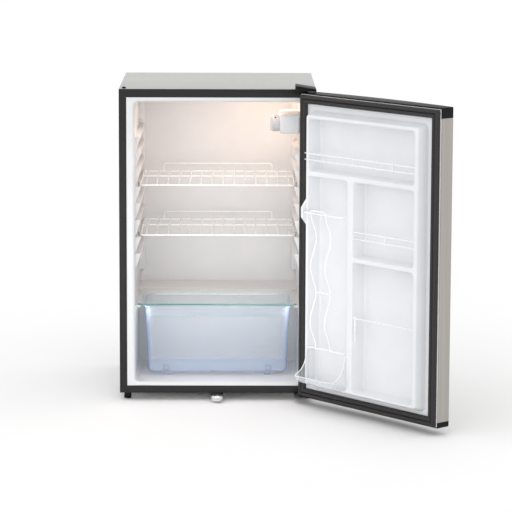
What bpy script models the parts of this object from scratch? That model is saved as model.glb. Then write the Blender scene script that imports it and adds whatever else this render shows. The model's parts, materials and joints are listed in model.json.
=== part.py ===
"""Compact single-door refrigerator with a glass-topped crisper, wire shelves and a can-dispensing door.

Every sub-part is one closed solid.  Shapes are written in cabinet coordinates with the door closed:
X to the right, Y from the front frame to the back, Z up from the floor.  Moving pieces hang from empties
that stand on their joint axes, and the door's empty turns it to its stored, open position.
"""
import math

import bmesh
import bpy
from mathutils import Matrix, Vector

# ---- driving dimensions, metres --------------------------------------------------------------------------
GAP = 0.0003             # clearance between faces that touch
FOOT_H = 0.020           # floor to the underside of the cabinet
FOOT_X = 0.240
FOOT_Y = 0.032
CAB_W = 0.520
CAB_H = 0.815
CAB_D = 0.490
SHEET = 0.0015           # cabinet sheet steel
FRAME_SIDE = 0.017       # width of the dark front frame at the sides and bottom
FRAME_TOP = 0.021
FRAME_D = 0.012
LINER_T = 0.002          # thermoformed liner wall
ROOM_W = 0.438           # inside of the liner
ROOM_LOW = 0.050
ROOM_TOP = 0.801
ROOM_D = 0.421
ROOM_R = 0.012
STEP_Y = 0.284           # front of the step over the compressor
STEP_TOP = 0.255
NICHE_Y = 0.318          # machine compartment behind and below the step
NICHE_TOP = 0.223

RIB_COUNT = 8            # shelf guides on each side wall
RIB_PITCH = 0.045
RIB_LOW_TOP = 0.388      # top of the lowest guide
RIB_H = 0.020
RIB_X = 0.205            # inner edge of a guide
RIB_FRONT = 0.058
RIB_BACK = 0.380
LOWER_SLOT = 1
UPPER_SLOT = 4

SHELF_FRONT = 0.075
SHELF_MID = 0.263
SHELF_BACK = 0.371
SHELF_X = 0.2065         # centre of a shelf's side wire
FRAME_WIRE = 0.00225     # radius of the shelf's frame wire
DECK_WIRE = 0.0015       # radius of the deck wires
DECK_PITCH = 0.0295
DECK_COUNT = 14
LIP_X = 0.150            # half-width of the raised back lip
LIP_H = 0.022

GLASS_X = 0.2125
GLASS_FRONT = 0.040
GLASS_LOW = 0.2510
GLASS_T = 0.0045
DRAWER_TOP_X = 0.196
DRAWER_LOW_X = 0.181
DRAWER_FRONT = 0.075
DRAWER_BACK = 0.275
DRAWER_LOW = 0.060
DRAWER_TOP = 0.242
DRAWER_WALL = 0.0022

DOOR_W = 0.516
DOOR_LOW = 0.0207
DOOR_TOP = 0.832
DOOR_RIM = -0.012        # plane of the door's inner rim when closed
DOOR_EDGE = -0.056       # front face at the door's sides
DOOR_BOW = 0.015         # how far the front bows out in the middle
DOOR_CORNER = 0.006
SKIN_T = 0.001
CAP_WALL = 0.0012
CAP_PLATE = 0.003
TOP_CAP_H = 0.027
BOTTOM_CAP_H = 0.0148
HINGE_X = 0.2455
HINGE_Y = -0.036
COVER_LEFT = 0.2050      # the top hinge's cover
COVER_BACK = 0.0230
PLUG = (-0.247, 0.027)   # plug in the spare hinge hole
PLUG_R = 0.0056
SEAT_DEPTH = 0.0005      # the cover and the plug sit in shallow seats pressed into the top sheet
DOOR_OPEN = 131.0        # degrees from closed, as stored
PIN_R = 0.004
BUSH_R = 0.006

DIKE_X = 0.212           # raised wall of the door liner
DIKE_LOW = 0.060
DIKE_TOP = 0.786
DIKE_H = 0.030
PAN_DEPTH = 0.015        # door pockets sink this far behind the rim
GASKET_W = 0.022
GASKET_INSET = 0.005
GASKET_CLEAR = 0.0010    # keeps the hinge-side corner off the frame while the door swings

LOCK_Y = -0.030
LOCK_R = 0.0155

STEPS = 20               # sides of a round piece


# ---- helpers ---------------------------------------------------------------------------------------------
def clear_scene():
    for obj in list(bpy.data.objects):
        bpy.data.objects.remove(obj, do_unlink=True)


def paint(name, colour, roughness, metallic=0.0, alpha=1.0):
    """A Principled material."""
    mat = bpy.data.materials.new(name)
    mat.use_nodes = True
    shader = mat.node_tree.nodes["Principled BSDF"]
    shader.inputs["Base Color"].default_value = (*colour, 1.0)
    shader.inputs["Roughness"].default_value = roughness
    shader.inputs["Metallic"].default_value = metallic
    shader.inputs["Alpha"].default_value = alpha
    return mat


def tidy(bm):
    bmesh.ops.remove_doubles(bm, verts=bm.verts[:], dist=1e-5)
    bmesh.ops.recalc_face_normals(bm, faces=bm.faces[:])
    return bm


def block(x, y, z, bevel=0.0, segments=2):
    """Box between the given pairs, with all its edges rounded when bevel is set."""
    bm = bmesh.new()
    bmesh.ops.create_cube(bm, size=1.0)
    size = Vector((x[1] - x[0], y[1] - y[0], z[1] - z[0]))
    centre = Vector((sum(x), sum(y), sum(z))) / 2
    bmesh.ops.scale(bm, vec=size, verts=bm.verts[:])
    bmesh.ops.translate(bm, vec=centre, verts=bm.verts[:])
    if bevel:
        bmesh.ops.bevel(bm, geom=bm.edges[:], offset=bevel, segments=segments, profile=0.5, affect="EDGES")
    return bm


def prism(outline, axis, low, high):
    """Extrude a flat outline along an axis; the outline gives the other two axes in X, Y, Z order."""
    place = {"x": lambda a, b, h: (h, a, b), "y": lambda a, b, h: (a, h, b), "z": lambda a, b, h: (a, b, h)}
    bm = bmesh.new()
    face = bm.faces.new([bm.verts.new(place[axis](a, b, low)) for a, b in outline])
    shift = Vector(place[axis](0, 0, high - low))
    grown = bmesh.ops.extrude_face_region(bm, geom=[face], use_keep_orig=True)
    moved = [item for item in grown["geom"] if isinstance(item, bmesh.types.BMVert)]
    bmesh.ops.translate(bm, vec=shift, verts=moved)
    return tidy(bm)


def round_rect(a, b, radius, segments=4):
    """Outline of a rectangle between the pairs a and b, with round corners."""
    points = []
    corners = [(a[1] - radius, b[1] - radius, 0), (a[0] + radius, b[1] - radius, 90),
               (a[0] + radius, b[0] + radius, 180), (a[1] - radius, b[0] + radius, 270)]
    for ca, cb, start in corners:
        for i in range(segments + 1):
            turn = math.radians(start + 90 * i / segments)
            points.append((ca + radius * math.cos(turn), cb + radius * math.sin(turn)))
    return points


def loft(low_outline, low_z, high_outline, high_z):
    """Solid between two outlines with the same number of points, at two heights."""
    bm = bmesh.new()
    low = [bm.verts.new((a, b, low_z)) for a, b in low_outline]
    high = [bm.verts.new((a, b, high_z)) for a, b in high_outline]
    bm.faces.new(low)
    bm.faces.new(high)
    for i in range(len(low)):
        j = (i + 1) % len(low)
        bm.faces.new((low[i], low[j], high[j], high[i]))
    return tidy(bm)


def lathe(profile, centre, axis="z", steps=STEPS):
    """Turn a profile of (radius, height) points about an axis through the centre."""
    bm = bmesh.new()
    verts = [bm.verts.new((r, 0, h)) for r, h in profile]
    edges = [bm.edges.new((verts[i], verts[i + 1])) for i in range(len(verts) - 1)]
    if profile[0][0] > 0:
        edges.append(bm.edges.new((verts[-1], verts[0])))
    bmesh.ops.spin(bm, geom=verts + edges, cent=(0, 0, 0), axis=(0, 0, 1), angle=math.tau, steps=steps,
                   use_merge=True)
    turn = {"z": Matrix(),
            "x": Matrix.Rotation(math.pi / 2, 4, "Y"),
            "y": Matrix.Rotation(-math.pi / 2, 4, "X")}
    bmesh.ops.transform(bm, matrix=Matrix.Translation(centre) @ turn[axis], verts=bm.verts[:])
    return tidy(bm)


def rod(centre, axis, radius, low, high, steps=STEPS):
    """Solid cylinder about an axis, from low to high along it."""
    return lathe([(0, low), (radius, low), (radius, high), (0, high)], centre, axis, steps)


def ring(centre, radius, bore, low, high, steps=STEPS):
    """Sleeve about a vertical axis."""
    return lathe([(radius, low), (radius, high), (bore, high), (bore, low)], centre, "z", steps)


def tube(points, radius, resolution=1, cyclic=False):
    """Round wire along a path; resolution 0, 1, 2 gives 4, 6, 8 sides."""
    curve = bpy.data.curves.new("wire", "CURVE")
    curve.dimensions = "3D"
    curve.bevel_depth = radius
    curve.bevel_resolution = resolution
    curve.use_fill_caps = True
    spline = curve.splines.new("POLY")
    spline.points.add(len(points) - 1)
    for point, place in zip(spline.points, points):
        point.co = (*place, 1.0)
    spline.use_cyclic_u = cyclic
    holder = bpy.data.objects.new("wire", curve)
    mesh = holder.to_mesh()
    bm = bmesh.new()
    bm.from_mesh(mesh)
    holder.to_mesh_clear()
    bpy.data.objects.remove(holder)
    return tidy(bm)


def combine(base, tools, operation):
    """Boolean the tools into the base one after another and give back the result."""
    scratch = []
    for bm in [base] + list(tools):
        mesh = bpy.data.meshes.new("scratch")
        bm.to_mesh(mesh)
        bm.free()
        holder = bpy.data.objects.new("scratch", mesh)
        bpy.context.collection.objects.link(holder)
        scratch.append(holder)
    target = scratch[0]
    for tool in scratch[1:]:
        change = target.modifiers.new("change", "BOOLEAN")
        change.operation = operation
        change.solver = "EXACT"
        change.object = tool
    graph = bpy.context.evaluated_depsgraph_get()
    result = bmesh.new()
    result.from_mesh(target.evaluated_get(graph).to_mesh())
    for holder in scratch:
        bpy.data.objects.remove(holder, do_unlink=True)
    bmesh.ops.remove_doubles(result, verts=result.verts[:], dist=1e-6)
    return result


def carve(base, *cutters):
    return combine(base, cutters, "DIFFERENCE")


def fuse(base, *others):
    return combine(base, others, "UNION")


class Joint:
    """An empty on a joint's axis; pieces made in cabinet coordinates hang from it."""

    def __init__(self, name, place, parent=None):
        self.place = Vector(place)
        self.empty = bpy.data.objects.new(name, None)
        bpy.context.collection.objects.link(self.empty)
        if parent:
            self.empty.parent = parent.empty
            self.empty.location = self.place - parent.place


def part(name, bm, mat, joint, smooth=True):
    """Turn a finished shape into a named object on its joint's empty."""
    bmesh.ops.translate(bm, vec=-joint.place, verts=bm.verts[:])
    mesh = bpy.data.meshes.new(name)
    bm.to_mesh(mesh)
    bm.free()
    mesh.materials.append(mat)
    if smooth:
        mesh.shade_smooth()
        mesh.set_sharp_from_angle(angle=math.radians(40))
    obj = bpy.data.objects.new(name, mesh)
    bpy.context.collection.objects.link(obj)
    obj.parent = joint.empty
    return obj


# ---- cabinet shell ---------------------------------------------------------------------------------------
BASE = FOOT_H
TOP = FOOT_H + CAB_H
HALF_W = CAB_W / 2


def room(outset=0.0, front=0.001):
    """Space inside the liner, grown by outset; the step over the compressor is left standing."""
    x = ROOM_W / 2 + outset
    section = round_rect((-x, x), (ROOM_LOW - outset, ROOM_TOP + outset), ROOM_R + outset)
    tub = prism(section, "y", front, ROOM_D + outset)
    step = block((-HALF_W, HALF_W), (STEP_Y + outset, CAB_D), (0.0, STEP_TOP - outset))
    return carve(tub, step)


def make_outer_wrap(mat, cab):
    outer = [(-HALF_W, BASE), (-HALF_W, TOP), (HALF_W, TOP), (HALF_W, BASE)]
    inner = [(HALF_W - SHEET, BASE), (HALF_W - SHEET, TOP - SHEET), (-HALF_W + SHEET, TOP - SHEET),
             (-HALF_W + SHEET, BASE)]
    low = TOP - SEAT_DEPTH
    seats = [block((COVER_LEFT - 0.001, 0.3), (-0.1, COVER_BACK + 0.001), (low, 1.0)),
             rod((*PLUG, 0), "z", PLUG_R + 0.0006, low, 1.0)]
    part("outer_wrap", carve(prism(outer + inner, "y", FRAME_D + GAP, CAB_D), *seats), mat, cab)


def make_front_frame(mat, cab):
    face = block((-HALF_W, HALF_W), (0.0, FRAME_D), (BASE, TOP))
    window = block((-HALF_W + FRAME_SIDE, HALF_W - FRAME_SIDE), (-0.01, 0.03),
                   (BASE + FRAME_SIDE, TOP - FRAME_TOP))
    part("front_frame", carve(face, window), mat, cab)


def make_inner_liner(mat, cab):
    half = HALF_W - FRAME_SIDE - GAP
    flange = block((-half, half), (0.001, 0.001 + LINER_T), (BASE + FRAME_SIDE + GAP, TOP - FRAME_TOP - GAP))
    shell = fuse(flange, room(LINER_T))
    guides = []
    for side in (-1, 1):
        count = RIB_COUNT if side < 0 else RIB_COUNT - 1
        for i in range(count):
            top = RIB_LOW_TOP + i * RIB_PITCH
            outline = [(RIB_FRONT, top - 0.004), (RIB_FRONT + 0.004, top), (RIB_BACK, top),
                       (RIB_BACK, top - RIB_H), (RIB_FRONT + 0.010, top - RIB_H)]
            low, high = sorted((side * RIB_X, side * 0.230))
            guides.append(prism(outline, "x", low, high))
        low, high = sorted((side * 0.204, side * 0.230))
        guides.append(block((low, high), (0.386, 0.450), (0.290, 0.830)))
        guides.append(block((low, high), (0.046, 0.282), (0.2435, GLASS_LOW - GAP)))
    part("inner_liner", carve(shell, carve(room(0.0, -0.05), *guides)), mat, cab)


def make_cabinet_foam(mat, cab):
    half = HALF_W - SHEET - GAP
    fill = block((-half, half), (FRAME_D + GAP, CAB_D - 0.0024), (BASE + SHEET + GAP, TOP - SHEET - GAP))
    half = HALF_W - FRAME_SIDE - GAP
    nose = block((-half, half), (0.001 + LINER_T + GAP, 0.03),
                 (BASE + FRAME_SIDE + GAP, TOP - FRAME_TOP - GAP))
    niche = block((-0.3, 0.3), (NICHE_Y - SHEET - GAP, 0.6), (0.0, NICHE_TOP + GAP))
    pocket = block((-0.172, 0.172), (0.40, 0.4268), (0.318, 0.762))
    studs = [rod((x, FOOT_Y, 0), "z", 0.006, 0.0, 0.048, 10) for x in (-FOOT_X, FOOT_X)]
    part("cabinet_foam", carve(fuse(fill, nose), room(LINER_T + GAP, -0.05), niche, pocket, *studs), mat, cab)


def make_rear_panel(mat, cab):
    half = HALF_W - SHEET - GAP
    panel = block((-half, half), (CAB_D - 0.0021, CAB_D - 0.0006), (NICHE_TOP + GAP, TOP - SHEET - GAP))
    part("rear_panel", panel, mat, cab)


def make_base_pan(mat, cab):
    """One bent sheet: bottom, front wall and roof of the machine compartment."""
    half = HALF_W - SHEET - GAP
    outline = [(FRAME_D + GAP, BASE), (NICHE_Y, BASE), (NICHE_Y, NICHE_TOP - SHEET),
               (CAB_D - 0.0024, NICHE_TOP - SHEET), (CAB_D - 0.0024, NICHE_TOP), (NICHE_Y - SHEET, NICHE_TOP),
               (NICHE_Y - SHEET, BASE + SHEET), (FRAME_D + GAP, BASE + SHEET)]
    studs = [rod((x, FOOT_Y, 0), "z", 0.0055, 0.0, 0.05, 12) for x in (-FOOT_X, FOOT_X)]
    part("base_pan", carve(prism(outline, "x", -half, half), *studs), mat, cab)


def make_feet(mat, joints):
    for side, joint in joints.items():
        x = -FOOT_X if side == "left" else FOOT_X
        profile = [(0, 0), (0.0085, 0), (0.0095, 0.002), (0.0095, BASE - 0.0008), (PIN_R, BASE - 0.0008),
                   (PIN_R, 0.044), (0, 0.044)]
        part("front_foot_" + side, lathe(profile, (x, FOOT_Y, 0), "z", 16), mat, joint)


def make_rear_feet(mat, cab):
    for side, x in (("left", -0.225), ("right", 0.225)):
        profile = [(0, 0), (0.010, 0), (0.011, 0.002), (0.011, 0.0195), (0, 0.0195)]
        part("rear_foot_" + side, lathe(profile, (x, 0.455, 0), "z", 16), mat, cab)


# ---- cooling system --------------------------------------------------------------------------------------
COMP_X = 0.055
COMP_Y = 0.405
COMP_R = 0.060


def make_machine(mats, cab):
    half = HALF_W - SHEET - GAP
    rear = CAB_D - 0.001
    tray = [(NICHE_Y + 0.004, 0.0198), (rear, 0.0198), (rear, 0.032), (rear - 0.002, 0.032),
            (rear - 0.002, 0.0218), (NICHE_Y + 0.006, 0.0218), (NICHE_Y + 0.006, 0.032),
            (NICHE_Y + 0.004, 0.032)]
    part("compressor_base", prism(tray, "x", -half, half), mats["steel"], cab)
    offsets = [(-0.062, -0.048), (0.062, -0.048), (-0.062, 0.048), (0.062, 0.048)]
    for i, (dx, dy) in enumerate(offsets):
        profile = [(0, 0.0221), (0.009, 0.0221), (0.009, 0.028), (0.006, 0.030), (0.009, 0.032),
                   (0.009, 0.0377), (0, 0.0377)]
        mount = lathe(profile, (COMP_X + dx, COMP_Y + dy, 0), "z", 12)
        part("compressor_mount_%d" % (i + 1), mount, mats["rubber"], cab)
    profile = [(0, 0.039), (0.045, 0.0395), (COMP_R - 0.004, 0.052), (COMP_R, 0.070), (COMP_R, 0.108),
               (COMP_R + 0.002, 0.110), (COMP_R + 0.002, 0.114), (COMP_R, 0.116), (COMP_R - 0.002, 0.140),
               (0.050, 0.160), (0.030, 0.170), (0, 0.173)]
    legs = block((COMP_X - 0.074, COMP_X + 0.074), (COMP_Y - 0.060, COMP_Y + 0.060), (0.038, 0.041))
    shell = lathe(profile, (COMP_X, COMP_Y, 0), "z", 24)
    part("compressor", fuse(shell, legs), mats["black_steel"], cab)
    edge = COMP_X - COMP_R - 0.0025
    relay = block((edge - 0.036, edge), (COMP_Y - 0.030, COMP_Y + 0.030), (0.075, 0.130), 0.004)
    part("relay_cover", relay, mats["black_plastic"], cab)
    pan = block((COMP_X - 0.065, COMP_X + 0.065), (COMP_Y - 0.060, COMP_Y + 0.060), (0.1745, 0.194), 0.004)
    hollow = block((COMP_X - 0.063, COMP_X + 0.063), (COMP_Y - 0.058, COMP_Y + 0.058), (0.1765, 0.22))
    part("drip_tray", carve(pan, hollow), mats["black_plastic"], cab)
    profile = [(0, 0.090), (0.004, 0.092), (0.010, 0.102), (0.010, 0.172), (0.004, 0.182), (0, 0.184)]
    part("filter_drier", lathe(profile, (-0.110, COMP_Y, 0), "z", 14), mats["copper"], cab)
    x, y = COMP_X + COMP_R + 0.0035, COMP_Y
    line = [(x, y, 0.095), (x + 0.02, y, 0.095), (x + 0.030, y, 0.100), (x + 0.034, y, 0.110),
            (x + 0.034, y, 0.205), (x + 0.034, y, 0.2205)]
    part("suction_line", tube(line, 0.004, 2), mats["copper"], cab)
    line = [(x, y + 0.03, 0.075), (x + 0.04, y + 0.03, 0.075), (x + 0.052, y + 0.034, 0.080),
            (x + 0.056, y + 0.045, 0.092), (x + 0.056, y + 0.050, 0.205), (x + 0.056, y + 0.050, 0.2205)]
    part("discharge_line", tube(line, 0.003, 2), mats["copper"], cab)


def make_condenser(mats, cab):
    """Serpentine tube on two upright brackets behind the rear panel."""
    passes, low, pitch, half, bend = 9, 0.290, 0.060, 0.195, 6
    y = CAB_D + 0.0145
    points = []
    for i in range(passes):
        side = 1 if i % 2 == 0 else -1
        z = low + i * pitch
        points.append((-side * (half - pitch / 2), y, z))
        points.append((side * (half - pitch / 2), y, z))
        if i < passes - 1:
            for k in range(1, bend):
                turn = math.pi * k / bend
                points.append((side * (half - pitch / 2 + pitch / 2 * math.sin(turn)), y,
                               z + pitch / 2 * (1 - math.cos(turn))))
    part("condenser_coil", tube(points, 0.003, 1), mats["black_steel"], cab)
    for side, x in (("left", -0.135), ("right", 0.135)):
        bracket = block((x - 0.008, x + 0.008), (CAB_D - 0.0003, y - 0.0033), (0.275, 0.785))
        part("condenser_bracket_" + side, bracket, mats["black_steel"], cab)
    evaporator = block((-0.170, 0.170), (ROOM_D + LINER_T + 0.0006, 0.4264), (0.320, 0.760))
    part("evaporator_plate", evaporator, mats["aluminium"], cab)
    profile = [(0.009, 0), (0.009, 0.003), (0.0065, 0.009), (0.0036, 0.009), (0.0036, 0)]
    gland = lathe(profile, (-0.200, CAB_D - 0.0003, 0.262), "y", 16)
    part("cord_gland", gland, mats["black_plastic"], cab)


# ---- hinges and plug -------------------------------------------------------------------------------------
PLATE_LOW = TOP + GAP
PLATE_T = 0.0022


def make_hinges(mats, cab, door):
    centre = (HINGE_X, HINGE_Y, 0)
    outline = round_rect((0.2065, 0.2580), (-0.050, 0.0210), 0.006, 3)
    plate = prism(outline, "z", PLATE_LOW, PLATE_LOW + PLATE_T)
    hole = rod(centre, "z", PIN_R + GAP, 0.8, 0.9, 16)
    part("top_hinge_plate", carve(plate, hole), mats["steel"], cab)
    pin = rod(centre, "z", PIN_R, 0.812, PLATE_LOW + PLATE_T, 16)
    part("top_hinge_pin", pin, mats["steel"], cab)
    z = PLATE_LOW + 0.0004
    wedge = [(COVER_LEFT, z), (COVER_LEFT, z + 0.0125), (0.2080, z + 0.0130), (0.2575, z + 0.0052),
             (0.2592, z + 0.0040), (0.2592, z)]
    pocket = [(0.2062, z - 0.01), (0.2062, z + 0.0112), (0.2583, z + 0.0035), (0.2583, z - 0.01)]
    cover = carve(prism(wedge, "y", -0.0520, COVER_BACK), prism(pocket, "y", -0.0505, 0.0215))
    part("top_hinge_cover", cover, mats["black_plastic"], cab)
    plate = prism(round_rect((0.2065, 0.2580), (-0.050, 0.0100), 0.006, 3), "z", BASE - 0.0033, BASE - GAP)
    hole = rod(centre, "z", PIN_R + GAP, 0.0, 0.1, 16)
    part("bottom_hinge_plate", carve(plate, hole), mats["steel"], cab)
    part("bottom_hinge_pin", rod(centre, "z", PIN_R, BASE - 0.0033, 0.042, 16), mats["steel"], cab)
    profile = [(BUSH_R, 0.812), (BUSH_R, DOOR_TOP + GAP), (0.009, DOOR_TOP + GAP), (0.009, DOOR_TOP + 0.0020),
               (0.0046, DOOR_TOP + 0.0020), (0.0046, 0.812)]
    part("top_hinge_bush", lathe(profile, centre, "z", 16), mats["white_plastic"], door)
    part("bottom_hinge_bush", ring(centre, BUSH_R, 0.0046, DOOR_LOW, 0.042, 16), mats["white_plastic"], door)
    profile = [(0, 0), (PLUG_R, 0), (0.0050, 0.0022), (0.0032, 0.0036), (0, 0.0042)]
    part("hinge_hole_plug", lathe(profile, (*PLUG, TOP + GAP), "z", 14), mats["black_plastic"], cab)


# ---- lamp and thermostat ---------------------------------------------------------------------------------
LAMP_X = (0.1665, ROOM_W / 2 - GAP)
LAMP_Y = (0.100, 0.220)
LAMP_Z = (0.707, 0.758)
KNOB_Y = 0.127
KNOB_Z = 0.7325
KNOB_R = 0.0215
SWITCH_Y = 0.180
SWITCH_Z = 0.7325


def make_lamp(mats, cab, knob, switch):
    wall = 0.002
    case = block(LAMP_X, LAMP_Y, LAMP_Z, 0.004, 3)
    hollow = block((LAMP_X[0] + wall, 0.3), (LAMP_Y[0] + wall, LAMP_Y[1] - wall),
                   (LAMP_Z[0] + wall, LAMP_Z[1] - wall))
    stem_hole = rod((0, KNOB_Y, KNOB_Z), "x", 0.0055, 0.15, 0.18, 14)
    bulb_hole = rod((0.193, 0, 0.7335), "y", 0.0130, 0.21, 0.23, 16)
    window = block((0.15, 0.18), (SWITCH_Y - 0.0108, SWITCH_Y + 0.0108),
                   (SWITCH_Z - 0.0072, SWITCH_Z + 0.0072))
    part("lamp_housing", carve(case, hollow, stem_hole, bulb_hole, window), mats["white_plastic"], cab)
    body = block((0.1740, 0.2000), (0.110, 0.146), (0.714, 0.752), 0.002, 1)
    part("thermostat", body, mats["steel"], cab)
    dial = rod((0, KNOB_Y, KNOB_Z), "x", KNOB_R, 0.1465, 0.1655, 28)
    stem = rod((0, KNOB_Y, KNOB_Z), "x", 0.004, 0.1600, 0.1737, 12)
    grip = block((0.1410, 0.1480), (KNOB_Y - 0.003, KNOB_Y + 0.003), (KNOB_Z - 0.019, KNOB_Z + 0.019),
                 0.0015, 1)
    part("thermostat_knob", fuse(dial, stem, grip), mats["white_plastic"], knob)
    outline = [(0.1650, SWITCH_Y - 0.010), (0.1632, SWITCH_Y + 0.0098), (0.1700, SWITCH_Y + 0.010),
               (0.1715, SWITCH_Y), (0.1700, SWITCH_Y - 0.010)]
    rocker = prism(outline, "z", SWITCH_Z - 0.0065, SWITCH_Z + 0.0065)
    part("lamp_switch", rocker, mats["white_plastic"], switch)
    holder = rod((0.193, 0, 0.7335), "y", 0.0120, 0.186, 0.2172, 16)
    part("lamp_holder", holder, mats["white_plastic"], cab)
    profile = [(0, 0.2176), (0.0085, 0.2176), (0.0088, 0.226), (0.0110, 0.236), (0.0100, 0.246),
               (0.0060, 0.253), (0, 0.2555)]
    part("lamp_bulb", lathe(profile, (0.193, 0, 0.7335), "y", 18), mats["bulb"], cab)
    cover = block((0.1720, LAMP_X[1]), (0.2203, 0.2660), (0.7090, 0.7560), 0.003)
    hollow = block((0.1738, 0.3), (0.20, 0.2642), (0.7108, 0.7542))
    part("lamp_lens", carve(cover, hollow), mats["lens"], cab)


# ---- shelves and crisper ---------------------------------------------------------------------------------
def shelf_height(slot):
    """Centre of a wire shelf's frame when it rests on the guide with this number."""
    return RIB_LOW_TOP + slot * RIB_PITCH + GAP + FRAME_WIRE


def make_wire_shelf(name, slot, mat, joint):
    z = shelf_height(slot)
    corners = round_rect((-SHELF_X, SHELF_X), (SHELF_FRONT, SHELF_BACK), 0.010, 3)
    frame = tube([(x, y, z) for x, y in corners], FRAME_WIRE, 1, cyclic=True)
    middle = tube([(-SHELF_X, SHELF_MID, z), (SHELF_X, SHELF_MID, z)], FRAME_WIRE, 1)
    lip = tube([(-LIP_X, SHELF_BACK, z), (-LIP_X, SHELF_BACK, z + LIP_H), (LIP_X, SHELF_BACK, z + LIP_H),
                (LIP_X, SHELF_BACK, z)], DECK_WIRE, 1)
    deck_z = z + FRAME_WIRE + DECK_WIRE - 0.0009
    shelf = fuse(frame, middle, lip)
    for i in range(DECK_COUNT):
        x = (i - (DECK_COUNT - 1) / 2) * DECK_PITCH
        path = [(x, SHELF_FRONT - 0.0005, deck_z), (x, SHELF_BACK + 0.0005, deck_z)]
        if abs(x) < LIP_X:
            path.append((x, SHELF_BACK + 0.0005, z + LIP_H))
        shelf = fuse(shelf, tube(path, DECK_WIRE, 0))
    part(name, shelf, mat, joint)


def make_glass(mat, joint):
    slab = block((-GLASS_X, GLASS_X), (GLASS_FRONT, STEP_Y - 0.0008), (GLASS_LOW, GLASS_LOW + GLASS_T),
                 0.0008, 1)
    part("glass_shelf", slab, mat, joint)


def make_drawer(mat, joint):
    w = DRAWER_WALL
    lean = 0.006
    low = ((-DRAWER_LOW_X, DRAWER_LOW_X), (DRAWER_FRONT + lean, DRAWER_BACK - lean))
    high = ((-DRAWER_TOP_X + 0.004, DRAWER_TOP_X - 0.004), (DRAWER_FRONT + 0.001, DRAWER_BACK - 0.001))
    body = loft(round_rect(*low, 0.020), DRAWER_LOW, round_rect(*high, 0.020), DRAWER_TOP)
    lip = prism(round_rect((-DRAWER_TOP_X, DRAWER_TOP_X), (DRAWER_FRONT - 0.002, DRAWER_BACK + 0.002), 0.022),
                "z", DRAWER_TOP - 0.006, DRAWER_TOP)
    feet = [block((x - 0.008, x + 0.008), (y - 0.008, y + 0.008), (ROOM_LOW + GAP, DRAWER_LOW + 0.001))
            for x in (-0.135, 0.135) for y in (0.105, 0.245)]
    inner_low = ((low[0][0] + w, low[0][1] - w), (low[1][0] + w, low[1][1] - w))
    inner_high = ((high[0][0] + w, high[0][1] - w), (high[1][0] + w, high[1][1] - w))
    hollow = loft(round_rect(*inner_low, 0.018), DRAWER_LOW + w,
                  round_rect(*inner_high, 0.018), DRAWER_TOP + 0.001)
    part("crisper_drawer", carve(fuse(body, lip, *feet), hollow), mat, joint)


# ---- lock ------------------------------------------------------------------------------------------------
def make_lock(mats, cab, barrel, bolt, door):
    centre = (0, LOCK_Y, 0)
    nose = [(LOCK_R * 1.06 * math.cos(math.radians(a)), LOCK_Y + LOCK_R * 1.06 * math.sin(math.radians(a)))
            for a in range(180, 361, 20)]
    outline = nose + [(LOCK_R * 1.06, 0.040), (-LOCK_R * 1.06, 0.040)]
    bore = rod(centre, "z", 0.0045, 0.0, 0.1, 16)
    part("lock_bracket", carve(prism(outline, "z", 0.0124, BASE - GAP), bore), mats["black_plastic"], cab)
    profile = [(0, 0.0030), (0.006, 0.0032), (0.0110, 0.0045), (0.0140, 0.0070), (LOCK_R, 0.0095),
               (LOCK_R, 0.0119), (0, 0.0119)]
    slot = block((-0.0008, 0.0008), (LOCK_Y - 0.005, LOCK_Y + 0.005), (0.0, 0.0075))
    part("lock_barrel", carve(lathe(profile, centre, "z", 24), slot), mats["chrome"], barrel)
    part("lock_bolt", rod(centre, "z", PIN_R, 0.0123, BASE - 0.0004, 14), mats["steel"], bolt)
    part("lock_strike", ring(centre, 0.0085, 0.0052, DOOR_LOW, DOOR_LOW + CAP_PLATE, 16), mats["steel"], door)


# ---- door ------------------------------------------------------------------------------------------------
def door_plan(inset, back):
    """Plan outline of the door, its bowed front drawn in by inset, closed off at y = back."""
    half, r = DOOR_W / 2, DOOR_CORNER
    points = [(-half + inset, back)]
    for a in range(0, 91, 30):
        turn = math.radians(180 + a)
        points.append((-half + r + (r - inset) * math.cos(turn),
                       DOOR_EDGE + r + (r - inset) * math.sin(turn)))
    reach = half - r
    for i in range(1, 12):
        x = -reach + 2 * reach * i / 12
        points.append((x, DOOR_EDGE - DOOR_BOW * (1 - (x / reach) ** 2) + inset))
    for a in range(0, 91, 30):
        turn = math.radians(270 + a)
        points.append((half - r + (r - inset) * math.cos(turn), DOOR_EDGE + r + (r - inset) * math.sin(turn)))
    points.append((half - inset, back))
    return points


def dike(inset=0.0, back=DOOR_RIM - LINER_T):
    """Raised wall block of the door liner, with the boss that carries the can rack."""
    face = DOOR_RIM + DIKE_H - inset
    wall = block((-DIKE_X + inset, DIKE_X - inset), (back, face), (DIKE_LOW + inset, DIKE_TOP - inset))
    low, high = 0.492 + inset, 0.558 - inset
    outline = [(face - 0.004, low), (face + 0.013, low + 0.020), (face + 0.013, high - 0.020),
               (face - 0.004, high)]
    boss = prism(outline, "x", 0.1985 + inset, DIKE_X - inset)
    return wall, boss


POCKETS = {
    "top": ((-0.192, 0.198), (0.634, 0.770)),
    "can": ((0.049, 0.198), (0.072, 0.620)),
    "side": ((-0.192, 0.028), (0.425, 0.620)),
    "bottle": ((-0.192, 0.028), (0.072, 0.412)),
}


def pockets(outset=0.0, front=0.08):
    """Compartments of the door liner as blocks, each wall pushed out by outset."""
    cutters = []
    for x, z in POCKETS.values():
        cutters.append(block((x[0] - outset, x[1] + outset), (DOOR_RIM - PAN_DEPTH - outset, front),
                             (z[0] - outset, z[1] + outset)))
    return cutters


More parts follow.
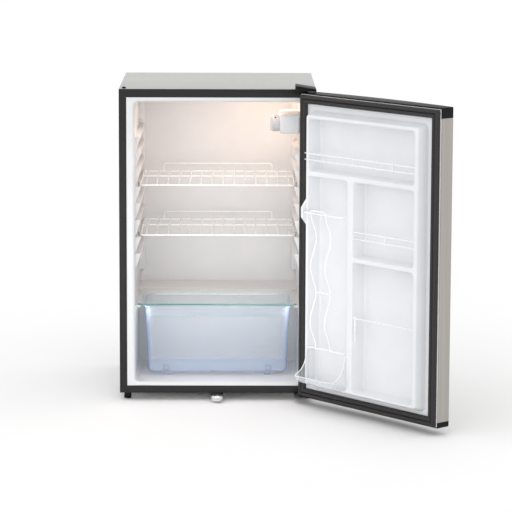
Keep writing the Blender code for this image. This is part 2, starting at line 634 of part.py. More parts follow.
def make_door_shell(mats, door):
    low_split, high_split = DOOR_LOW + BOTTOM_CAP_H, DOOR_TOP - TOP_CAP_H
    back = DOOR_RIM - 0.0005
    skin = carve(prism(door_plan(0, back), "z", low_split, high_split),
                 prism(door_plan(SKIN_T, 0.02), "z", 0.0, 0.9))
    part("door_skin", skin, mats["stainless"], door)
    hinge = (HINGE_X, HINGE_Y, 0)
    bush = rod(hinge, "z", BUSH_R + GAP, 0.0, 0.9, 16)
    cap = carve(prism(door_plan(0, DOOR_RIM), "z", high_split + GAP, DOOR_TOP),
                prism(door_plan(CAP_WALL, 0.02), "z", 0.7, DOOR_TOP - CAP_PLATE), bush)
    part("door_top_cap", cap, mats["black_plastic"], door)
    bush = rod(hinge, "z", BUSH_R + GAP, 0.0, 0.9, 16)
    bolt = rod((0, LOCK_Y, 0), "z", 0.0088, 0.0, 0.1, 16)
    cap = carve(prism(door_plan(0, DOOR_RIM), "z", DOOR_LOW, low_split - GAP),
                prism(door_plan(CAP_WALL, 0.02), "z", DOOR_LOW + CAP_PLATE, 0.1), bush, bolt)
    part("door_bottom_cap", cap, mats["black_plastic"], door)


def make_door_foam(mat, door):
    low, high = DOOR_LOW + CAP_PLATE + GAP, DOOR_TOP - CAP_PLATE - GAP
    slab = prism(door_plan(CAP_WALL + GAP, DOOR_RIM - LINER_T - GAP), "z", low, high)
    wells = [rod((HINGE_X, HINGE_Y, 0), "z", BUSH_R + 2 * GAP, 0.808, 0.9, 12),
             rod((HINGE_X, HINGE_Y, 0), "z", BUSH_R + 2 * GAP, 0.0, 0.046, 12),
             rod((0, LOCK_Y, 0), "z", 0.0060, 0.0, 0.034, 12)]
    wall, boss = dike(LINER_T + GAP, -0.040)
    part("door_foam", carve(fuse(slab, wall, boss), *wells, *pockets(LINER_T + GAP)), mat, door)


def make_door_liner(mat, door):
    half = DOOR_W / 2 - CAP_WALL - GAP
    flange = block((-half, half), (DOOR_RIM - LINER_T, DOOR_RIM),
                   (DOOR_LOW + CAP_PLATE + GAP, DOOR_TOP - CAP_PLATE - GAP))
    wall, boss = dike()
    solid = carve(fuse(flange, wall, boss, *pockets(LINER_T, DOOR_RIM)), *pockets())
    inside, inner_boss = dike(LINER_T, -0.050)
    hollow = carve(fuse(inside, inner_boss), *pockets(LINER_T))
    part("door_liner", carve(solid, hollow), mat, door)


def make_gasket(mat, door):
    half = DOOR_W / 2 - GASKET_INSET
    low, high = DOOR_LOW + GASKET_INSET, DOOR_TOP - GASKET_INSET
    outer = block((-half, half), (DOOR_RIM + GAP, -GASKET_CLEAR), (low, high))
    window = block((-half + GASKET_W, half - GASKET_W), (-0.03, 0.03), (low + GASKET_W, high - GASKET_W))
    part("door_gasket", carve(outer, window), mat, door)


def rail(pocket, heights, ties):
    """Retaining rail of flat bars at the given heights, joined by upright ties and end posts."""
    x = (POCKETS[pocket][0][0] + GAP, POCKETS[pocket][0][1] - GAP)
    y = (0.011, 0.0145)
    bars = [block(x, y, (z - 0.0022, z + 0.0022)) for z in heights]
    low, high = heights[0] - 0.006, heights[-1] + 0.006
    posts = [(x[0], x[0] + 0.004), (x[1] - 0.004, x[1])] + [(t - 0.002, t + 0.002) for t in ties]
    uprights = [block(post, (0.0095, 0.0155), (low, high)) for post in posts]
    return fuse(uprights[0], *bars, *uprights[1:])


def rack_y(z):
    """Depth of the can rack's wavy rails at a height."""
    return 0.026 - 0.010 * math.cos(math.tau * (z - 0.3155) / 0.145)


def make_door_fittings(mats, door):
    part("door_top_rail", rail("top", (0.6625, 0.679), (0.033, -0.112)), mats["white_plastic"], door)
    part("door_side_rail", rail("side", (0.4735, 0.4914), (-0.087,)), mats["white_plastic"], door)
    x = (POCKETS["bottle"][0][0] + GAP, POCKETS["bottle"][0][1] - GAP)
    bar = block(x, (0.011, 0.0145), (0.2645, 0.2695))
    clip = block((0.0170, 0.0215), (0.0095, 0.0155), (0.205, 0.275))
    post = block((x[0], x[0] + 0.004), (0.0095, 0.0155), (0.258, 0.276))
    part("bottle_rail", fuse(bar, clip, post), mats["white_plastic"], door)
    wire = 0.002
    low, high = 0.167, 0.527
    wide = (0.0515, 0.1955)
    count = 22
    heights = [low + (high - low) * i / count for i in range(count + 1)]
    rails = [tube([(x, rack_y(z), z) for z in heights], wire, 1) for x in (0.110, 0.165)]
    tie = tube([(0.110, rack_y(0.3175), 0.3175), (0.165, rack_y(0.3175), 0.3175)], wire, 1)
    foot = tube([(wide[0], rack_y(low), low + 0.001), (wide[1], rack_y(low), low + 0.001)], wire, 1)
    y = rack_y(high)
    hoop = tube([(wide[0], -0.004, high), (wide[0], y - 0.010, high), (wide[0] + 0.010, y, high),
                 (wide[1] - 0.010, y, high), (wide[1], y - 0.010, high), (wide[1], -0.004, high)], wire, 1)
    part("can_rack", fuse(hoop, rails[0], rails[1], tie, foot), mats["white_wire"], door)
    side = [(-0.010, 0.160), (0.019, 0.160), (0.022, 0.138), (0.035, 0.115), (0.058, 0.099), (0.060, 0.093),
            (0.054, 0.082), (0.038, 0.0735), (-0.010, 0.0725)]
    inner = [(-0.030, 0.180), (0.080, 0.180), (0.080, 0.0965), (0.0575, 0.0965), (0.0572, 0.0935),
             (0.0530, 0.0845), (0.0375, 0.0757), (-0.030, 0.0747)]
    x = (POCKETS["can"][0][0] + GAP, POCKETS["can"][0][1] - GAP)
    scoop = carve(prism(side, "x", *x), prism(inner, "x", x[0] + 0.002, x[1] - 0.002))
    part("can_scoop", scoop, mats["clear_plastic"], door)


# ---- assembly --------------------------------------------------------------------------------------------
def centre_on_origin(root):
    """Stand the model on z = 0 with the middle of its bounding box over the origin."""
    bpy.context.view_layer.update()
    meshes = [obj for obj in bpy.data.objects if obj.type == "MESH"]
    points = [obj.matrix_world @ v.co for obj in meshes for v in obj.data.vertices]
    middle = [(min(p[i] for p in points) + max(p[i] for p in points)) / 2 for i in (0, 1)]
    root.location = (-middle[0], -middle[1], 0)


def main():
    clear_scene()
    mats = {
        "wrap": paint("light_grey_paint", (0.58, 0.58, 0.57), 0.35, 0.2),
        "frame": paint("dark_frame_paint", (0.055, 0.052, 0.054), 0.45),
        "liner": paint("white_liner", (0.86, 0.88, 0.90), 0.35),
        "foam": paint("foam", (0.80, 0.72, 0.48), 0.9),
        "steel": paint("zinc_steel", (0.60, 0.60, 0.60), 0.4, 1.0),
        "black_steel": paint("black_steel", (0.02, 0.02, 0.02), 0.5, 0.3),
        "stainless": paint("stainless_steel", (0.56, 0.54, 0.51), 0.32, 1.0),
        "aluminium": paint("aluminium", (0.75, 0.75, 0.76), 0.4, 1.0),
        "copper": paint("copper", (0.72, 0.40, 0.26), 0.35, 1.0),
        "chrome": paint("chrome", (0.80, 0.80, 0.82), 0.12, 1.0),
        "rubber": paint("rubber", (0.03, 0.03, 0.03), 0.8),
        "gasket": paint("gasket_vinyl", (0.060, 0.056, 0.056), 0.6),
        "black_plastic": paint("black_plastic", (0.015, 0.015, 0.016), 0.4),
        "white_plastic": paint("white_plastic", (0.86, 0.87, 0.88), 0.35),
        "white_wire": paint("white_coated_wire", (0.88, 0.88, 0.87), 0.35),
        "clear_plastic": paint("clear_plastic", (0.86, 0.90, 0.92), 0.15, 0.0, 0.45),
        "crisper": paint("crisper_plastic", (0.66, 0.72, 0.84), 0.15, 0.0, 0.5),
        "glass": paint("shelf_glass", (0.70, 0.86, 0.80), 0.05, 0.0, 0.35),
        "lens": paint("lamp_lens", (0.95, 0.93, 0.88), 0.3, 0.0, 0.6),
        "bulb": paint("bulb_glass", (1.0, 0.93, 0.80), 0.1),
    }
    cab = Joint("cabinet_frame", (0, 0, 0))
    door = Joint("door_hinge", (HINGE_X, HINGE_Y, DOOR_LOW), cab)
    door.empty.rotation_euler = (0, 0, math.radians(DOOR_OPEN))
    upper = Joint("upper_shelf_slide", (0, SHELF_FRONT, shelf_height(UPPER_SLOT)), cab)
    lower = Joint("lower_shelf_slide", (0, SHELF_FRONT, shelf_height(LOWER_SLOT)), cab)
    cover = Joint("crisper_cover_slide", (0, GLASS_FRONT, GLASS_LOW), cab)
    drawer = Joint("crisper_slide", (0, DRAWER_FRONT, DRAWER_LOW), cab)
    knob = Joint("thermostat_turn", (LAMP_X[0], KNOB_Y, KNOB_Z), cab)
    switch = Joint("lamp_switch_rock", (0.1690, SWITCH_Y, SWITCH_Z), cab)
    barrel = Joint("lock_turn", (0, LOCK_Y, 0.0095), cab)
    bolt = Joint("lock_bolt_slide", (0, LOCK_Y, 0.0160), cab)
    feet = {"left": Joint("left_foot_screw", (-FOOT_X, FOOT_Y, 0), cab),
            "right": Joint("right_foot_screw", (FOOT_X, FOOT_Y, 0), cab)}

    make_outer_wrap(mats["wrap"], cab)
    make_front_frame(mats["frame"], cab)
    make_inner_liner(mats["liner"], cab)
    make_cabinet_foam(mats["foam"], cab)
    make_rear_panel(mats["wrap"], cab)
    make_base_pan(mats["steel"], cab)
    make_feet(mats["black_plastic"], feet)
    make_rear_feet(mats["black_plastic"], cab)
    make_machine(mats, cab)
    make_condenser(mats, cab)
    make_hinges(mats, cab, door)
    make_lamp(mats, cab, knob, switch)
    make_wire_shelf("upper_wire_shelf", UPPER_SLOT, mats["white_wire"], upper)
    make_wire_shelf("lower_wire_shelf", LOWER_SLOT, mats["white_wire"], lower)
    make_glass(mats["glass"], cover)
    make_drawer(mats["crisper"], drawer)
    make_lock(mats, cab, barrel, bolt, door)
    make_door_shell(mats, door)
    make_door_foam(mats["foam"], door)
    make_door_liner(mats["liner"], door)
    make_gasket(mats["gasket"], door)
    make_door_fittings(mats, door)
    centre_on_origin(cab.empty)


main()
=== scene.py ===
# %% [markdown]
# # A compact refrigerator, finished around its frame
# The frame holds every part at its real size and place, on bodies that move.
# This lesson gives those parts their final surfaces: some get soft edges, some are modelled again
# with smoother forms, and all of them get a material that is built from nodes.

import json
import math

import bmesh
import bpy
from mathutils import Matrix, Vector

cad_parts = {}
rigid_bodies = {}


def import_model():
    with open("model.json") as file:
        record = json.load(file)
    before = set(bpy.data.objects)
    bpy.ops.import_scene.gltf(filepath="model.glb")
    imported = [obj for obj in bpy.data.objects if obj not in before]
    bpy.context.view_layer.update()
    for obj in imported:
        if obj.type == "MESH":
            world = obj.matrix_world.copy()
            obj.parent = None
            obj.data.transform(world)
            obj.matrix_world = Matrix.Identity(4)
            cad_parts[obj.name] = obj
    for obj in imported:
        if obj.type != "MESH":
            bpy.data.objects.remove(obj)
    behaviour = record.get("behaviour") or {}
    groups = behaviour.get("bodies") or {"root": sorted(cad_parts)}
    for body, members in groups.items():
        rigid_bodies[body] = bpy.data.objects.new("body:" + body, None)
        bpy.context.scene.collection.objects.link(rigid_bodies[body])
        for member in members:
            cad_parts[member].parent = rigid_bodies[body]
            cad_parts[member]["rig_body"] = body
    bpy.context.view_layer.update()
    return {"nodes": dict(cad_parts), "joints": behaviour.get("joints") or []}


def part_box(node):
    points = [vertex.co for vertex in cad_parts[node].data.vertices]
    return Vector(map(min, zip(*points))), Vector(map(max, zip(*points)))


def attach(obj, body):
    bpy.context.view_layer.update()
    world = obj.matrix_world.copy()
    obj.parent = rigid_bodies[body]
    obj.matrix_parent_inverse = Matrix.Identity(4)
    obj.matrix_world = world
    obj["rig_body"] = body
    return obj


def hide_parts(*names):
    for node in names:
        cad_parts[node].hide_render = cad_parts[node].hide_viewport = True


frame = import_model()

# %% [markdown]
# ## Two sets of coordinates
# A maker draws the cabinet with its door shut, and measures from the middle of the front frame.
# So every new piece is written in those cabinet coordinates, X right, Y to the back, Z up from the floor.
# A piece of the door is drawn shut as well, and one matrix then swings it open about its hinge.

# %% Find the cabinet and the open door
frame_low, frame_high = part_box("front_frame")
CABINET = Matrix.Translation(((frame_low.x + frame_high.x) / 2, frame_low.y, 0.0))
door_hinge = next(joint for joint in frame["joints"] if joint["name"] == "door_hinge")
HINGE = Matrix.Translation((door_hinge["pos_m"][0], door_hinge["pos_m"][1], 0.0))
SWING = Matrix.Rotation(math.radians(-door_hinge["range_deg"][0]), 4, "Z")
DOOR = HINGE @ SWING @ HINGE.inverted() @ CABINET


def place_of(body):
    """Matrix from cabinet coordinates to where a body's pieces are stored."""
    return DOOR if body == "door" else CABINET


def span(node):
    """The X, Y and Z pairs that a node fills in cabinet coordinates, with the door shut."""
    obj = frame["nodes"][node]
    back = place_of(obj["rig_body"]).inverted()
    points = [back @ v.co for v in obj.data.vertices]
    return [(min(p[i] for p in points), max(p[i] for p in points)) for i in range(3)]


print("door opened by", round(-door_hinge["range_deg"][0]), "degrees")

# %% [markdown]
# ## The camera
# A long lens from far away keeps upright lines nearly upright. The camera stands a little above the cabinet
# and looks slightly down on it.

# %% Set the camera
camera_data = bpy.data.cameras.new("studio_camera")
camera = bpy.data.objects.new("studio_camera", camera_data)
bpy.context.scene.collection.objects.link(camera)
CAMERA_PLACE = (0.0423, -6.957, 1.506)
LOOK_RIGHT, LOOK_DOWN, LEAN = 0.500, 9.100, 0.206
camera_data.sensor_width = 36.0
camera_data.lens = 186.47
camera_data.clip_end = 200.0
camera.location = CABINET @ Vector(CAMERA_PLACE)
heading = Matrix.Rotation(math.radians(-LOOK_RIGHT), 3, "Z")
tip = Matrix.Rotation(math.radians(90 - LOOK_DOWN), 3, "X")
roll = Matrix.Rotation(math.radians(LEAN), 3, "Z")
camera.rotation_euler = (heading @ tip @ roll).to_euler()
bpy.context.scene.camera = camera
print("camera", round(camera.location.length, 2), "m away")

# %% [markdown]
# ## Floor and light
# The studio is a very wide pale floor under an even white sky, with a weak soft sun and a large panel at the
# front left. The cabinet's own lamp is a warm point of light near the top of the inside.
# A deep white room would still look dull, so small fill lamps that no real cabinet has stand in its mouth,
# under its ceiling, in and before the crisper and in the gaps beside it. They show as a bright spot on the
# door when it is shut.

# %% Build the studio
bpy.context.scene.view_settings.view_transform = "Standard"
FLOOR_RADIUS = 60.0
SKY_STRENGTH = 1.03
WHITE = (1.0, 1.0, 1.0)
floor_shape = bmesh.new()
bmesh.ops.create_circle(floor_shape, cap_ends=True, radius=FLOOR_RADIUS, segments=64)
floor_mesh = bpy.data.meshes.new("studio_floor")
floor_shape.to_mesh(floor_mesh)
floor_shape.free()
floor = bpy.data.objects.new("studio_floor", floor_mesh)
bpy.context.scene.collection.objects.link(floor)

world = bpy.data.worlds.new("studio_sky")
world.use_nodes = True
world.node_tree.nodes["Background"].inputs["Color"].default_value = (*WHITE, 1.0)
world.node_tree.nodes["Background"].inputs["Strength"].default_value = SKY_STRENGTH
bpy.context.scene.world = world


def lamp(name, kind, energy, colour, place, aim=None, **settings):
    """A light at a place in cabinet coordinates, turned towards the point aim."""
    data = bpy.data.lights.new(name, kind)
    data.energy = energy
    data.color = colour
    for key, value in settings.items():
        setattr(data, key, value)
    obj = bpy.data.objects.new(name, data)
    bpy.context.scene.collection.objects.link(obj)
    obj.location = CABINET @ Vector(place)
    if aim:
        obj.rotation_euler = (Vector(aim) - Vector(place)).to_track_quat("-Z", "Y").to_euler()


# %% Hang the lamps
def panel(name, energy, colour, place, aim, size, **settings):
    """A rectangular lamp of the given width and height."""
    lamp(name, "AREA", energy, colour, place, aim, shape="RECTANGLE", size=size[0], size_y=size[1],
         **settings)


lamp("soft_key", "SUN", 0.22, WHITE, (-1.5, -2.0, 5.0), (0.0, 0.2, 0.4), angle=math.radians(60))
panel("front_panel", 10.0, (0.97, 0.985, 1.0), (-1.2, -5.2, 1.7), (0.0, 0.2, 0.40), (3.2, 2.4))
panel("drawer_front", 0.045, WHITE, (0.0, 0.052, 0.246), (0.0, 0.085, 0.05), (0.40, 0.02))
panel("drawer_inside", 0.17, WHITE, (0.0, 0.17, 0.246), (0.0, 0.20, 0.05), (0.34, 0.14))
for side, x in (("left", -0.208), ("right", 0.208)):
    panel(f"gap_glow_{side}", 0.020, WHITE, (x, 0.060, 0.238), (x, 0.28, 0.13), (0.018, 0.02))
for side, x, energy in (("left", -0.45, 0.23), ("right", 0.17, 0.31)):
    panel(f"mouth_fill_{side}", energy, (1.0, 0.99, 0.98), (x, -1.05, 0.36), (0.0, 0.25, 0.33), (0.4, 0.6),
          spread=math.radians(55))
lamp("inside_glow", "POINT", 0.35, (1.0, 0.62, 0.38), (0.140, 0.255, 0.765), shadow_soft_size=0.02)
panel("inside_fill", 0.50, (1.0, 0.76, 0.62), (-0.02, 0.12, 0.785), (-0.02, 0.22, 0.05), (0.36, 0.20))
print("studio ready")

# %% [markdown]
# ## Tools for shapes
# A few helpers cover most of the modelling. slab is a block with rounded edges, prism pushes an outline
# along an axis, turned spins a profile, skin stretches a surface over a row of outlines, and wire bends
# round rod.
# Cuts and unions use the Boolean modifier on throwaway objects.

# %% Basic solids
def closed(bm):
    """Merge doubled points and turn all faces outwards."""
    bmesh.ops.remove_doubles(bm, verts=bm.verts[:], dist=1e-6)
    bmesh.ops.recalc_face_normals(bm, faces=bm.faces[:])
    return bm


def rounded(bm, width, segments=3, keep=25.0):
    """Round every edge that turns by more than keep degrees."""
    edges = [e for e in bm.edges if len(e.link_faces) == 2 and e.calc_face_angle(0.0) > math.radians(keep)]
    bmesh.ops.bevel(bm, geom=edges, offset=width, offset_type="OFFSET", segments=segments, profile=0.5,
                    affect="EDGES", material=-1, clamp_overlap=True)
    return bm


def slab(x, y, z, width=0.0, segments=3):
    """Block between the pairs x, y and z, its edges rounded by width."""
    bm = bmesh.new()
    bmesh.ops.create_cube(bm, size=1.0)
    bmesh.ops.scale(bm, vec=(x[1] - x[0], y[1] - y[0], z[1] - z[0]), verts=bm.verts[:])
    bmesh.ops.translate(bm, vec=(sum(x) / 2, sum(y) / 2, sum(z) / 2), verts=bm.verts[:])
    return rounded(bm, width, segments) if width else bm


def on_plane(axis, outline, height):
    """Points of a flat outline at a height along an axis; its pairs are the other two, in X, Y, Z order."""
    order = {"x": lambda a, b: (height, a, b),
             "y": lambda a, b: (a, height, b),
             "z": lambda a, b: (a, b, height)}
    return [order[axis](a, b) for a, b in outline]


def prism(outline, axis, low, high, width=0.0, segments=2):
    """Solid between two heights with the given outline."""
    bm = bmesh.new()
    face = bm.faces.new([bm.verts.new(p) for p in on_plane(axis, outline, low)])
    grown = bmesh.ops.extrude_face_region(bm, geom=[face], use_keep_orig=True)
    moved = [item for item in grown["geom"] if isinstance(item, bmesh.types.BMVert)]
    shift = Vector(on_plane(axis, [(0, 0)], high - low)[0])
    bmesh.ops.translate(bm, vec=shift, verts=moved)
    closed(bm)
    return rounded(bm, width, segments) if width else bm


def round_rect(a, b, radius, segments=6):
    """Outline of a rectangle between the pairs a and b, with round corners."""
    points = []
    corners = [(a[1] - radius, b[1] - radius, 0), (a[0] + radius, b[1] - radius, 90),
               (a[0] + radius, b[0] + radius, 180), (a[1] - radius, b[0] + radius, 270)]
    for centre_a, centre_b, start in corners:
        for i in range(segments + 1):
            angle = math.radians(start + 90 * i / segments)
            points.append((centre_a + radius * math.cos(angle), centre_b + radius * math.sin(angle)))
    return points


def skin(rings, around=False):
    """Stretch a surface over outlines with equal numbers of points; around joins the last to the first."""
    bm = bmesh.new()
    loops = []
    for ring in rings:
        verts = [bm.verts.new(p) for p in ring]
        loops.append([bm.edges.new((verts[i - 1], verts[i])) for i in range(len(verts))])
        if not around and ring in (rings[0], rings[-1]):
            bm.faces.new(verts)
    pairs = list(zip(loops, loops[1:])) + ([(loops[-1], loops[0])] if around else [])
    for one, other in pairs:
        bmesh.ops.bridge_loops(bm, edges=one + other)
    return closed(bm)


AXIS_TURN = {"z": Matrix(),
             "x": Matrix.Rotation(math.pi / 2, 4, "Y"),
             "y": Matrix.Rotation(-math.pi / 2, 4, "X")}


def turned(profile, centre, axis="z", steps=48):
    """Spin a profile of (radius, height) points about an axis through the centre."""
    bm = bmesh.new()
    verts = [bm.verts.new((r, 0, h)) for r, h in profile]
    edges = [bm.edges.new((verts[i], verts[i + 1])) for i in range(len(verts) - 1)]
    if profile[0][0] > 0:
        edges.append(bm.edges.new((verts[-1], verts[0])))
    bmesh.ops.spin(bm, geom=verts + edges, cent=(0, 0, 0), axis=(0, 0, 1), angle=math.tau, steps=steps,
                   use_merge=True)
    bmesh.ops.transform(bm, matrix=Matrix.Translation(centre) @ AXIS_TURN[axis], verts=bm.verts[:])
    return closed(bm)


def rod(centre, axis, radius, low, high, edge=0.0003, steps=32):
    """Round bar with slightly rounded ends."""
    return turned([(0, low), (radius - edge, low), (radius, low + edge), (radius, high - edge),
                   (radius - edge, high), (0, high)], centre, axis, steps)


# %% Wires, joins and cuts
def bent(points, radius, steps=5, around=False):
    """A path whose corners are bent to a radius."""
    path = []
    count = len(points)
    for i, point in enumerate(points):
        here = Vector(point)
        if not around and i in (0, count - 1):
            path.append(here)
            continue
        before, after = Vector(points[i - 1]) - here, Vector(points[(i + 1) % count]) - here
        reach = min(radius, 0.45 * before.length, 0.45 * after.length)
        start, end = here + before.normalized() * reach, here + after.normalized() * reach
        for k in range(steps + 1):
            t = k / steps
            path.append(start * (1 - t) ** 2 + here * 2 * t * (1 - t) + end * t ** 2)
    return path


def wire(points, radius, bend=0.0, around=False, resolution=3):
    """Round wire along a path, made from a curve with a round bevel."""
    path = bent(points, bend, around=around) if bend else [Vector(p) for p in points]
    data = bpy.data.curves.new("wire", "CURVE")
    data.dimensions = "3D"
    data.bevel_depth = radius
    data.bevel_resolution = resolution
    data.use_fill_caps = True
    spline = data.splines.new("POLY")
    spline.points.add(len(path) - 1)
    for target, point in zip(spline.points, path):
        target.co = (*point, 1.0)
    spline.use_cyclic_u = around
    obj = bpy.data.objects.new("wire", data)
    bm = bmesh.new()
    bm.from_mesh(obj.to_mesh())
    bpy.data.objects.remove(obj)
    return closed(bm)


def joined(*parts):
    """Several shapes in one mesh, as welded or glued pieces are."""
    out = bmesh.new()
    for bm in parts:
        mesh = bpy.data.meshes.new("part")
        bm.to_mesh(mesh)
        bm.free()
        out.from_mesh(mesh)
        bpy.data.meshes.remove(mesh)
    return out


def boolean(operation, base, *tools):
    """Cut the tools from the base, or unite them with it."""
    objects = []
    for bm in (base, *tools):
        mesh = bpy.data.meshes.new("cut")
        bm.to_mesh(mesh)
        bm.free()
        obj = bpy.data.objects.new("cut", mesh)
        bpy.context.scene.collection.objects.link(obj)
        objects.append(obj)
    for tool in objects[1:]:
        step = objects[0].modifiers.new("step", "BOOLEAN")
        step.operation = operation
        step.solver = "EXACT"
        step.object = tool
    result = objects[0].evaluated_get(bpy.context.evaluated_depsgraph_get())
    out = bmesh.new()
    out.from_mesh(result.to_mesh())
    for obj in objects:
        bpy.data.objects.remove(obj)
    return out


def cut(base, *tools):
    """The base without the tools."""
    return boolean("DIFFERENCE", base, *tools)


def united(base, *tools):
    """The base and the tools as one solid."""
    return boolean("UNION", base, *tools)


print("shape tools ready")

# %% [markdown]
# ## Tools for finishes
# Each finish starts as a Principled shader with its own values. Small node helpers then add what a real
# surface has: a noise that shifts the colour, one that varies the gloss, and a fine relief.
# Patterns read Object coordinates, which are metres here, so a scale of 500 gives grains of 2 mm.


def finish(name, slot, colour, roughness, metallic=0.0, **sockets):
    """A Principled material with its own colour, roughness and metal values; the slot argument is not used.
    """
    mat = bpy.data.materials.new(name)
    mat.use_nodes = True
    shader = mat.node_tree.nodes["Principled BSDF"]
    values = {"Base Color": (*colour, 1.0), "Roughness": roughness, "Metallic": metallic}
    values.update({key.replace("_", " "): value for key, value in sockets.items()})
    for socket, value in values.items():
        shader.inputs[socket].default_value = value
    return mat


def add(mat, kind, inputs=None, **settings):
    """Add a node; its inputs are numbers or the outputs of other nodes."""
    made = mat.node_tree.nodes.new("ShaderNode" + kind)
    for key, value in settings.items():
        setattr(made, key, value)
    for socket, value in (inputs or {}).items():
        if isinstance(value, bpy.types.NodeSocket):
            mat.node_tree.links.new(value, made.inputs[socket])
        else:
            made.inputs[socket].default_value = value
    return made


def shader_input(mat, socket, output):
    """Join a node's output to a socket of the shader."""
    mat.node_tree.links.new(output, mat.node_tree.nodes["Principled BSDF"].inputs[socket])


def noise(mat, scale, stretch=(1, 1, 1), detail=3.0, seed=(0, 0, 0)):
    """Cloudy pattern of a scale per metre, stretched along the axes."""
    where = add(mat, "TexCoord").outputs["Object"]
    mapped = add(mat, "Mapping", {"Vector": where, "Scale": stretch, "Location": seed}).outputs["Vector"]
    return add(mat, "TexNoise", {"Vector": mapped, "Scale": scale, "Detail": detail}).outputs["Fac"]


def ranged(mat, fac, low, high, start=0.3, end=0.7):
    """Spread the part of a pattern between start and end over low to high."""
    return add(mat, "MapRange", {"Value": fac, "From Min": start, "From Max": end, "To Min": low,
                                 "To Max": high}).outputs["Result"]


# A Mix node's number, vector and colour sockets share their names, so its colour sockets go by their place.
MIX_FIRST, MIX_SECOND, MIX_RESULT = 6, 7, 2


def tinted(mat, fac, dark, light, start=0.3, end=0.7):
    """Shift the base colour between two near shades."""
    amount = ranged(mat, fac, 0.0, 1.0, start, end)
    blend = add(mat, "Mix", {"Factor": amount, MIX_FIRST: (*dark, 1.0), MIX_SECOND: (*light, 1.0)},
                data_type="RGBA")
    shader_input(mat, "Base Color", blend.outputs[MIX_RESULT])


def relief(mat, *layers):
    """Stack bumps; each layer is (height pattern, height in metres)."""
    normal = None
    for height, distance in layers:
        inputs = {"Height": height, "Distance": distance, "Strength": 1.0}
        if normal:
            inputs["Normal"] = normal
        normal = add(mat, "Bump", inputs).outputs["Normal"]
    shader_input(mat, "Normal", normal)


def shade(colour, factor):
    """A colour made darker or lighter."""
    return tuple(min(1.0, c * factor) for c in colour)


# %% [markdown]
# ## Sheet metal finishes
# Painted steel has a faint orange peel where the spray settled. Stainless steel is rolled and then brushed,
# so its grain is thousands of long, thin scratches in one direction; here they run up and down the door.
# Zinc plating shows cloudy spangle, and copper tube darkens in patches.

# %% Paints and metals
def painted(name, slot, colour, roughness, peel=0.00003, coat=0.15, shine=0.5):
    """Sprayed paint; peel is the height of its orange peel in metres."""
    mat = finish(name, slot, colour, roughness, Coat_Weight=coat, Coat_Roughness=0.25,
                 Specular_IOR_Level=shine)
    tinted(mat, noise(mat, 9.0), shade(colour, 0.965), shade(colour, 1.02))
    shader_input(mat, "Roughness", ranged(mat, noise(mat, 60.0), roughness - 0.04, roughness + 0.05))
    relief(mat, (noise(mat, 520.0, detail=2.0), peel), (noise(mat, 25.0), 0.0002))
    return mat


def brushed_steel():
    """Stainless steel with an upright grain."""
    colour = (0.43, 0.405, 0.375)
    mat = finish("brushed_stainless", "stainless", colour, 0.30, 1.0, Anisotropic=0.5)
    grain = noise(mat, 1.0, (1400.0, 1400.0, 9.0), detail=4.0)
    streak = noise(mat, 1.0, (180.0, 180.0, 1.6), detail=3.0)
    tinted(mat, streak, shade(colour, 0.93), shade(colour, 1.05))
    shader_input(mat, "Roughness", ranged(mat, grain, 0.24, 0.42))
    relief(mat, (grain, 0.000012), (noise(mat, 6.0), 0.0004))
    return mat


def plated(name, slot, colour, roughness, spangle=140.0):
    """Plated or rolled metal; spangle is the number of crystals per metre."""
    mat = finish(name, slot, colour, roughness, 1.0)
    cells = add(mat, "TexVoronoi", {"Vector": add(mat, "TexCoord").outputs["Object"], "Scale": spangle})
    tinted(mat, cells.outputs["Color"], shade(colour, 0.86), shade(colour, 1.08), 0.1, 0.9)
    shader_input(mat, "Roughness", ranged(mat, noise(mat, 90.0), roughness - 0.08, roughness + 0.12))
    relief(mat, (noise(mat, 700.0), 0.00002))
    return mat


def copper_tube():
    """Copper that has darkened in patches."""
    mat = finish("copper_tube", "copper", (0.72, 0.36, 0.20), 0.32, 1.0)
    tinted(mat, noise(mat, 45.0, detail=5.0), (0.42, 0.19, 0.11), (0.80, 0.42, 0.25), 0.35, 0.62)
    shader_input(mat, "Roughness", ranged(mat, noise(mat, 70.0), 0.22, 0.50))
    relief(mat, (noise(mat, 500.0), 0.00002))
    return mat


enamel_grey = painted("enamel_grey", "grey_paint", (0.425, 0.425, 0.415), 0.40, coat=0.08)
enamel_dark = painted("enamel_dark", "frame_paint", (0.018, 0.0165, 0.018), 0.50, coat=0.0, shine=0.25)
enamel_black = painted("enamel_black", "black_steel", (0.018, 0.018, 0.019), 0.45, 0.00006)
stainless = brushed_steel()
zinc = plated("zinc_plate", "zinc_steel", (0.62, 0.62, 0.61), 0.36)
aluminium = plated("rolled_aluminium", "aluminium", (0.78, 0.78, 0.79), 0.40, 60.0)
chrome = plated("chrome_plate", "chrome", (0.80, 0.80, 0.81), 0.12, 30.0)
copper = copper_tube()
print("metal finishes ready")

# %% [markdown]
# ## Plastics, rubber and glass
# Vacuum-formed liners are a soft gloss white with a slow waviness from the mould. Black trim has a fine
# leather-like grain. Clear pieces let more light through face on than at a glance, so their opacity
# follows the Layer Weight node, which keeps their outlines crisp while their middles stay clear.

# %% Solid plastics and rubber
def moulded(name, slot, colour, roughness, grain=900.0, depth=0.00002, wave=0.0003, **sockets):
    """Moulded plastic or rubber: a fine grain of a depth, on a slow waviness, both in metres."""
    mat = finish(name, slot, colour, roughness, **sockets)
    tinted(mat, noise(mat, 14.0), shade(colour, 0.97), shade(colour, 1.01))
    shader_input(mat, "Roughness", ranged(mat, noise(mat, 130.0), roughness - 0.05, roughness + 0.06))
    relief(mat, (noise(mat, grain, detail=2.0), depth), (noise(mat, 11.0), wave))
    return mat
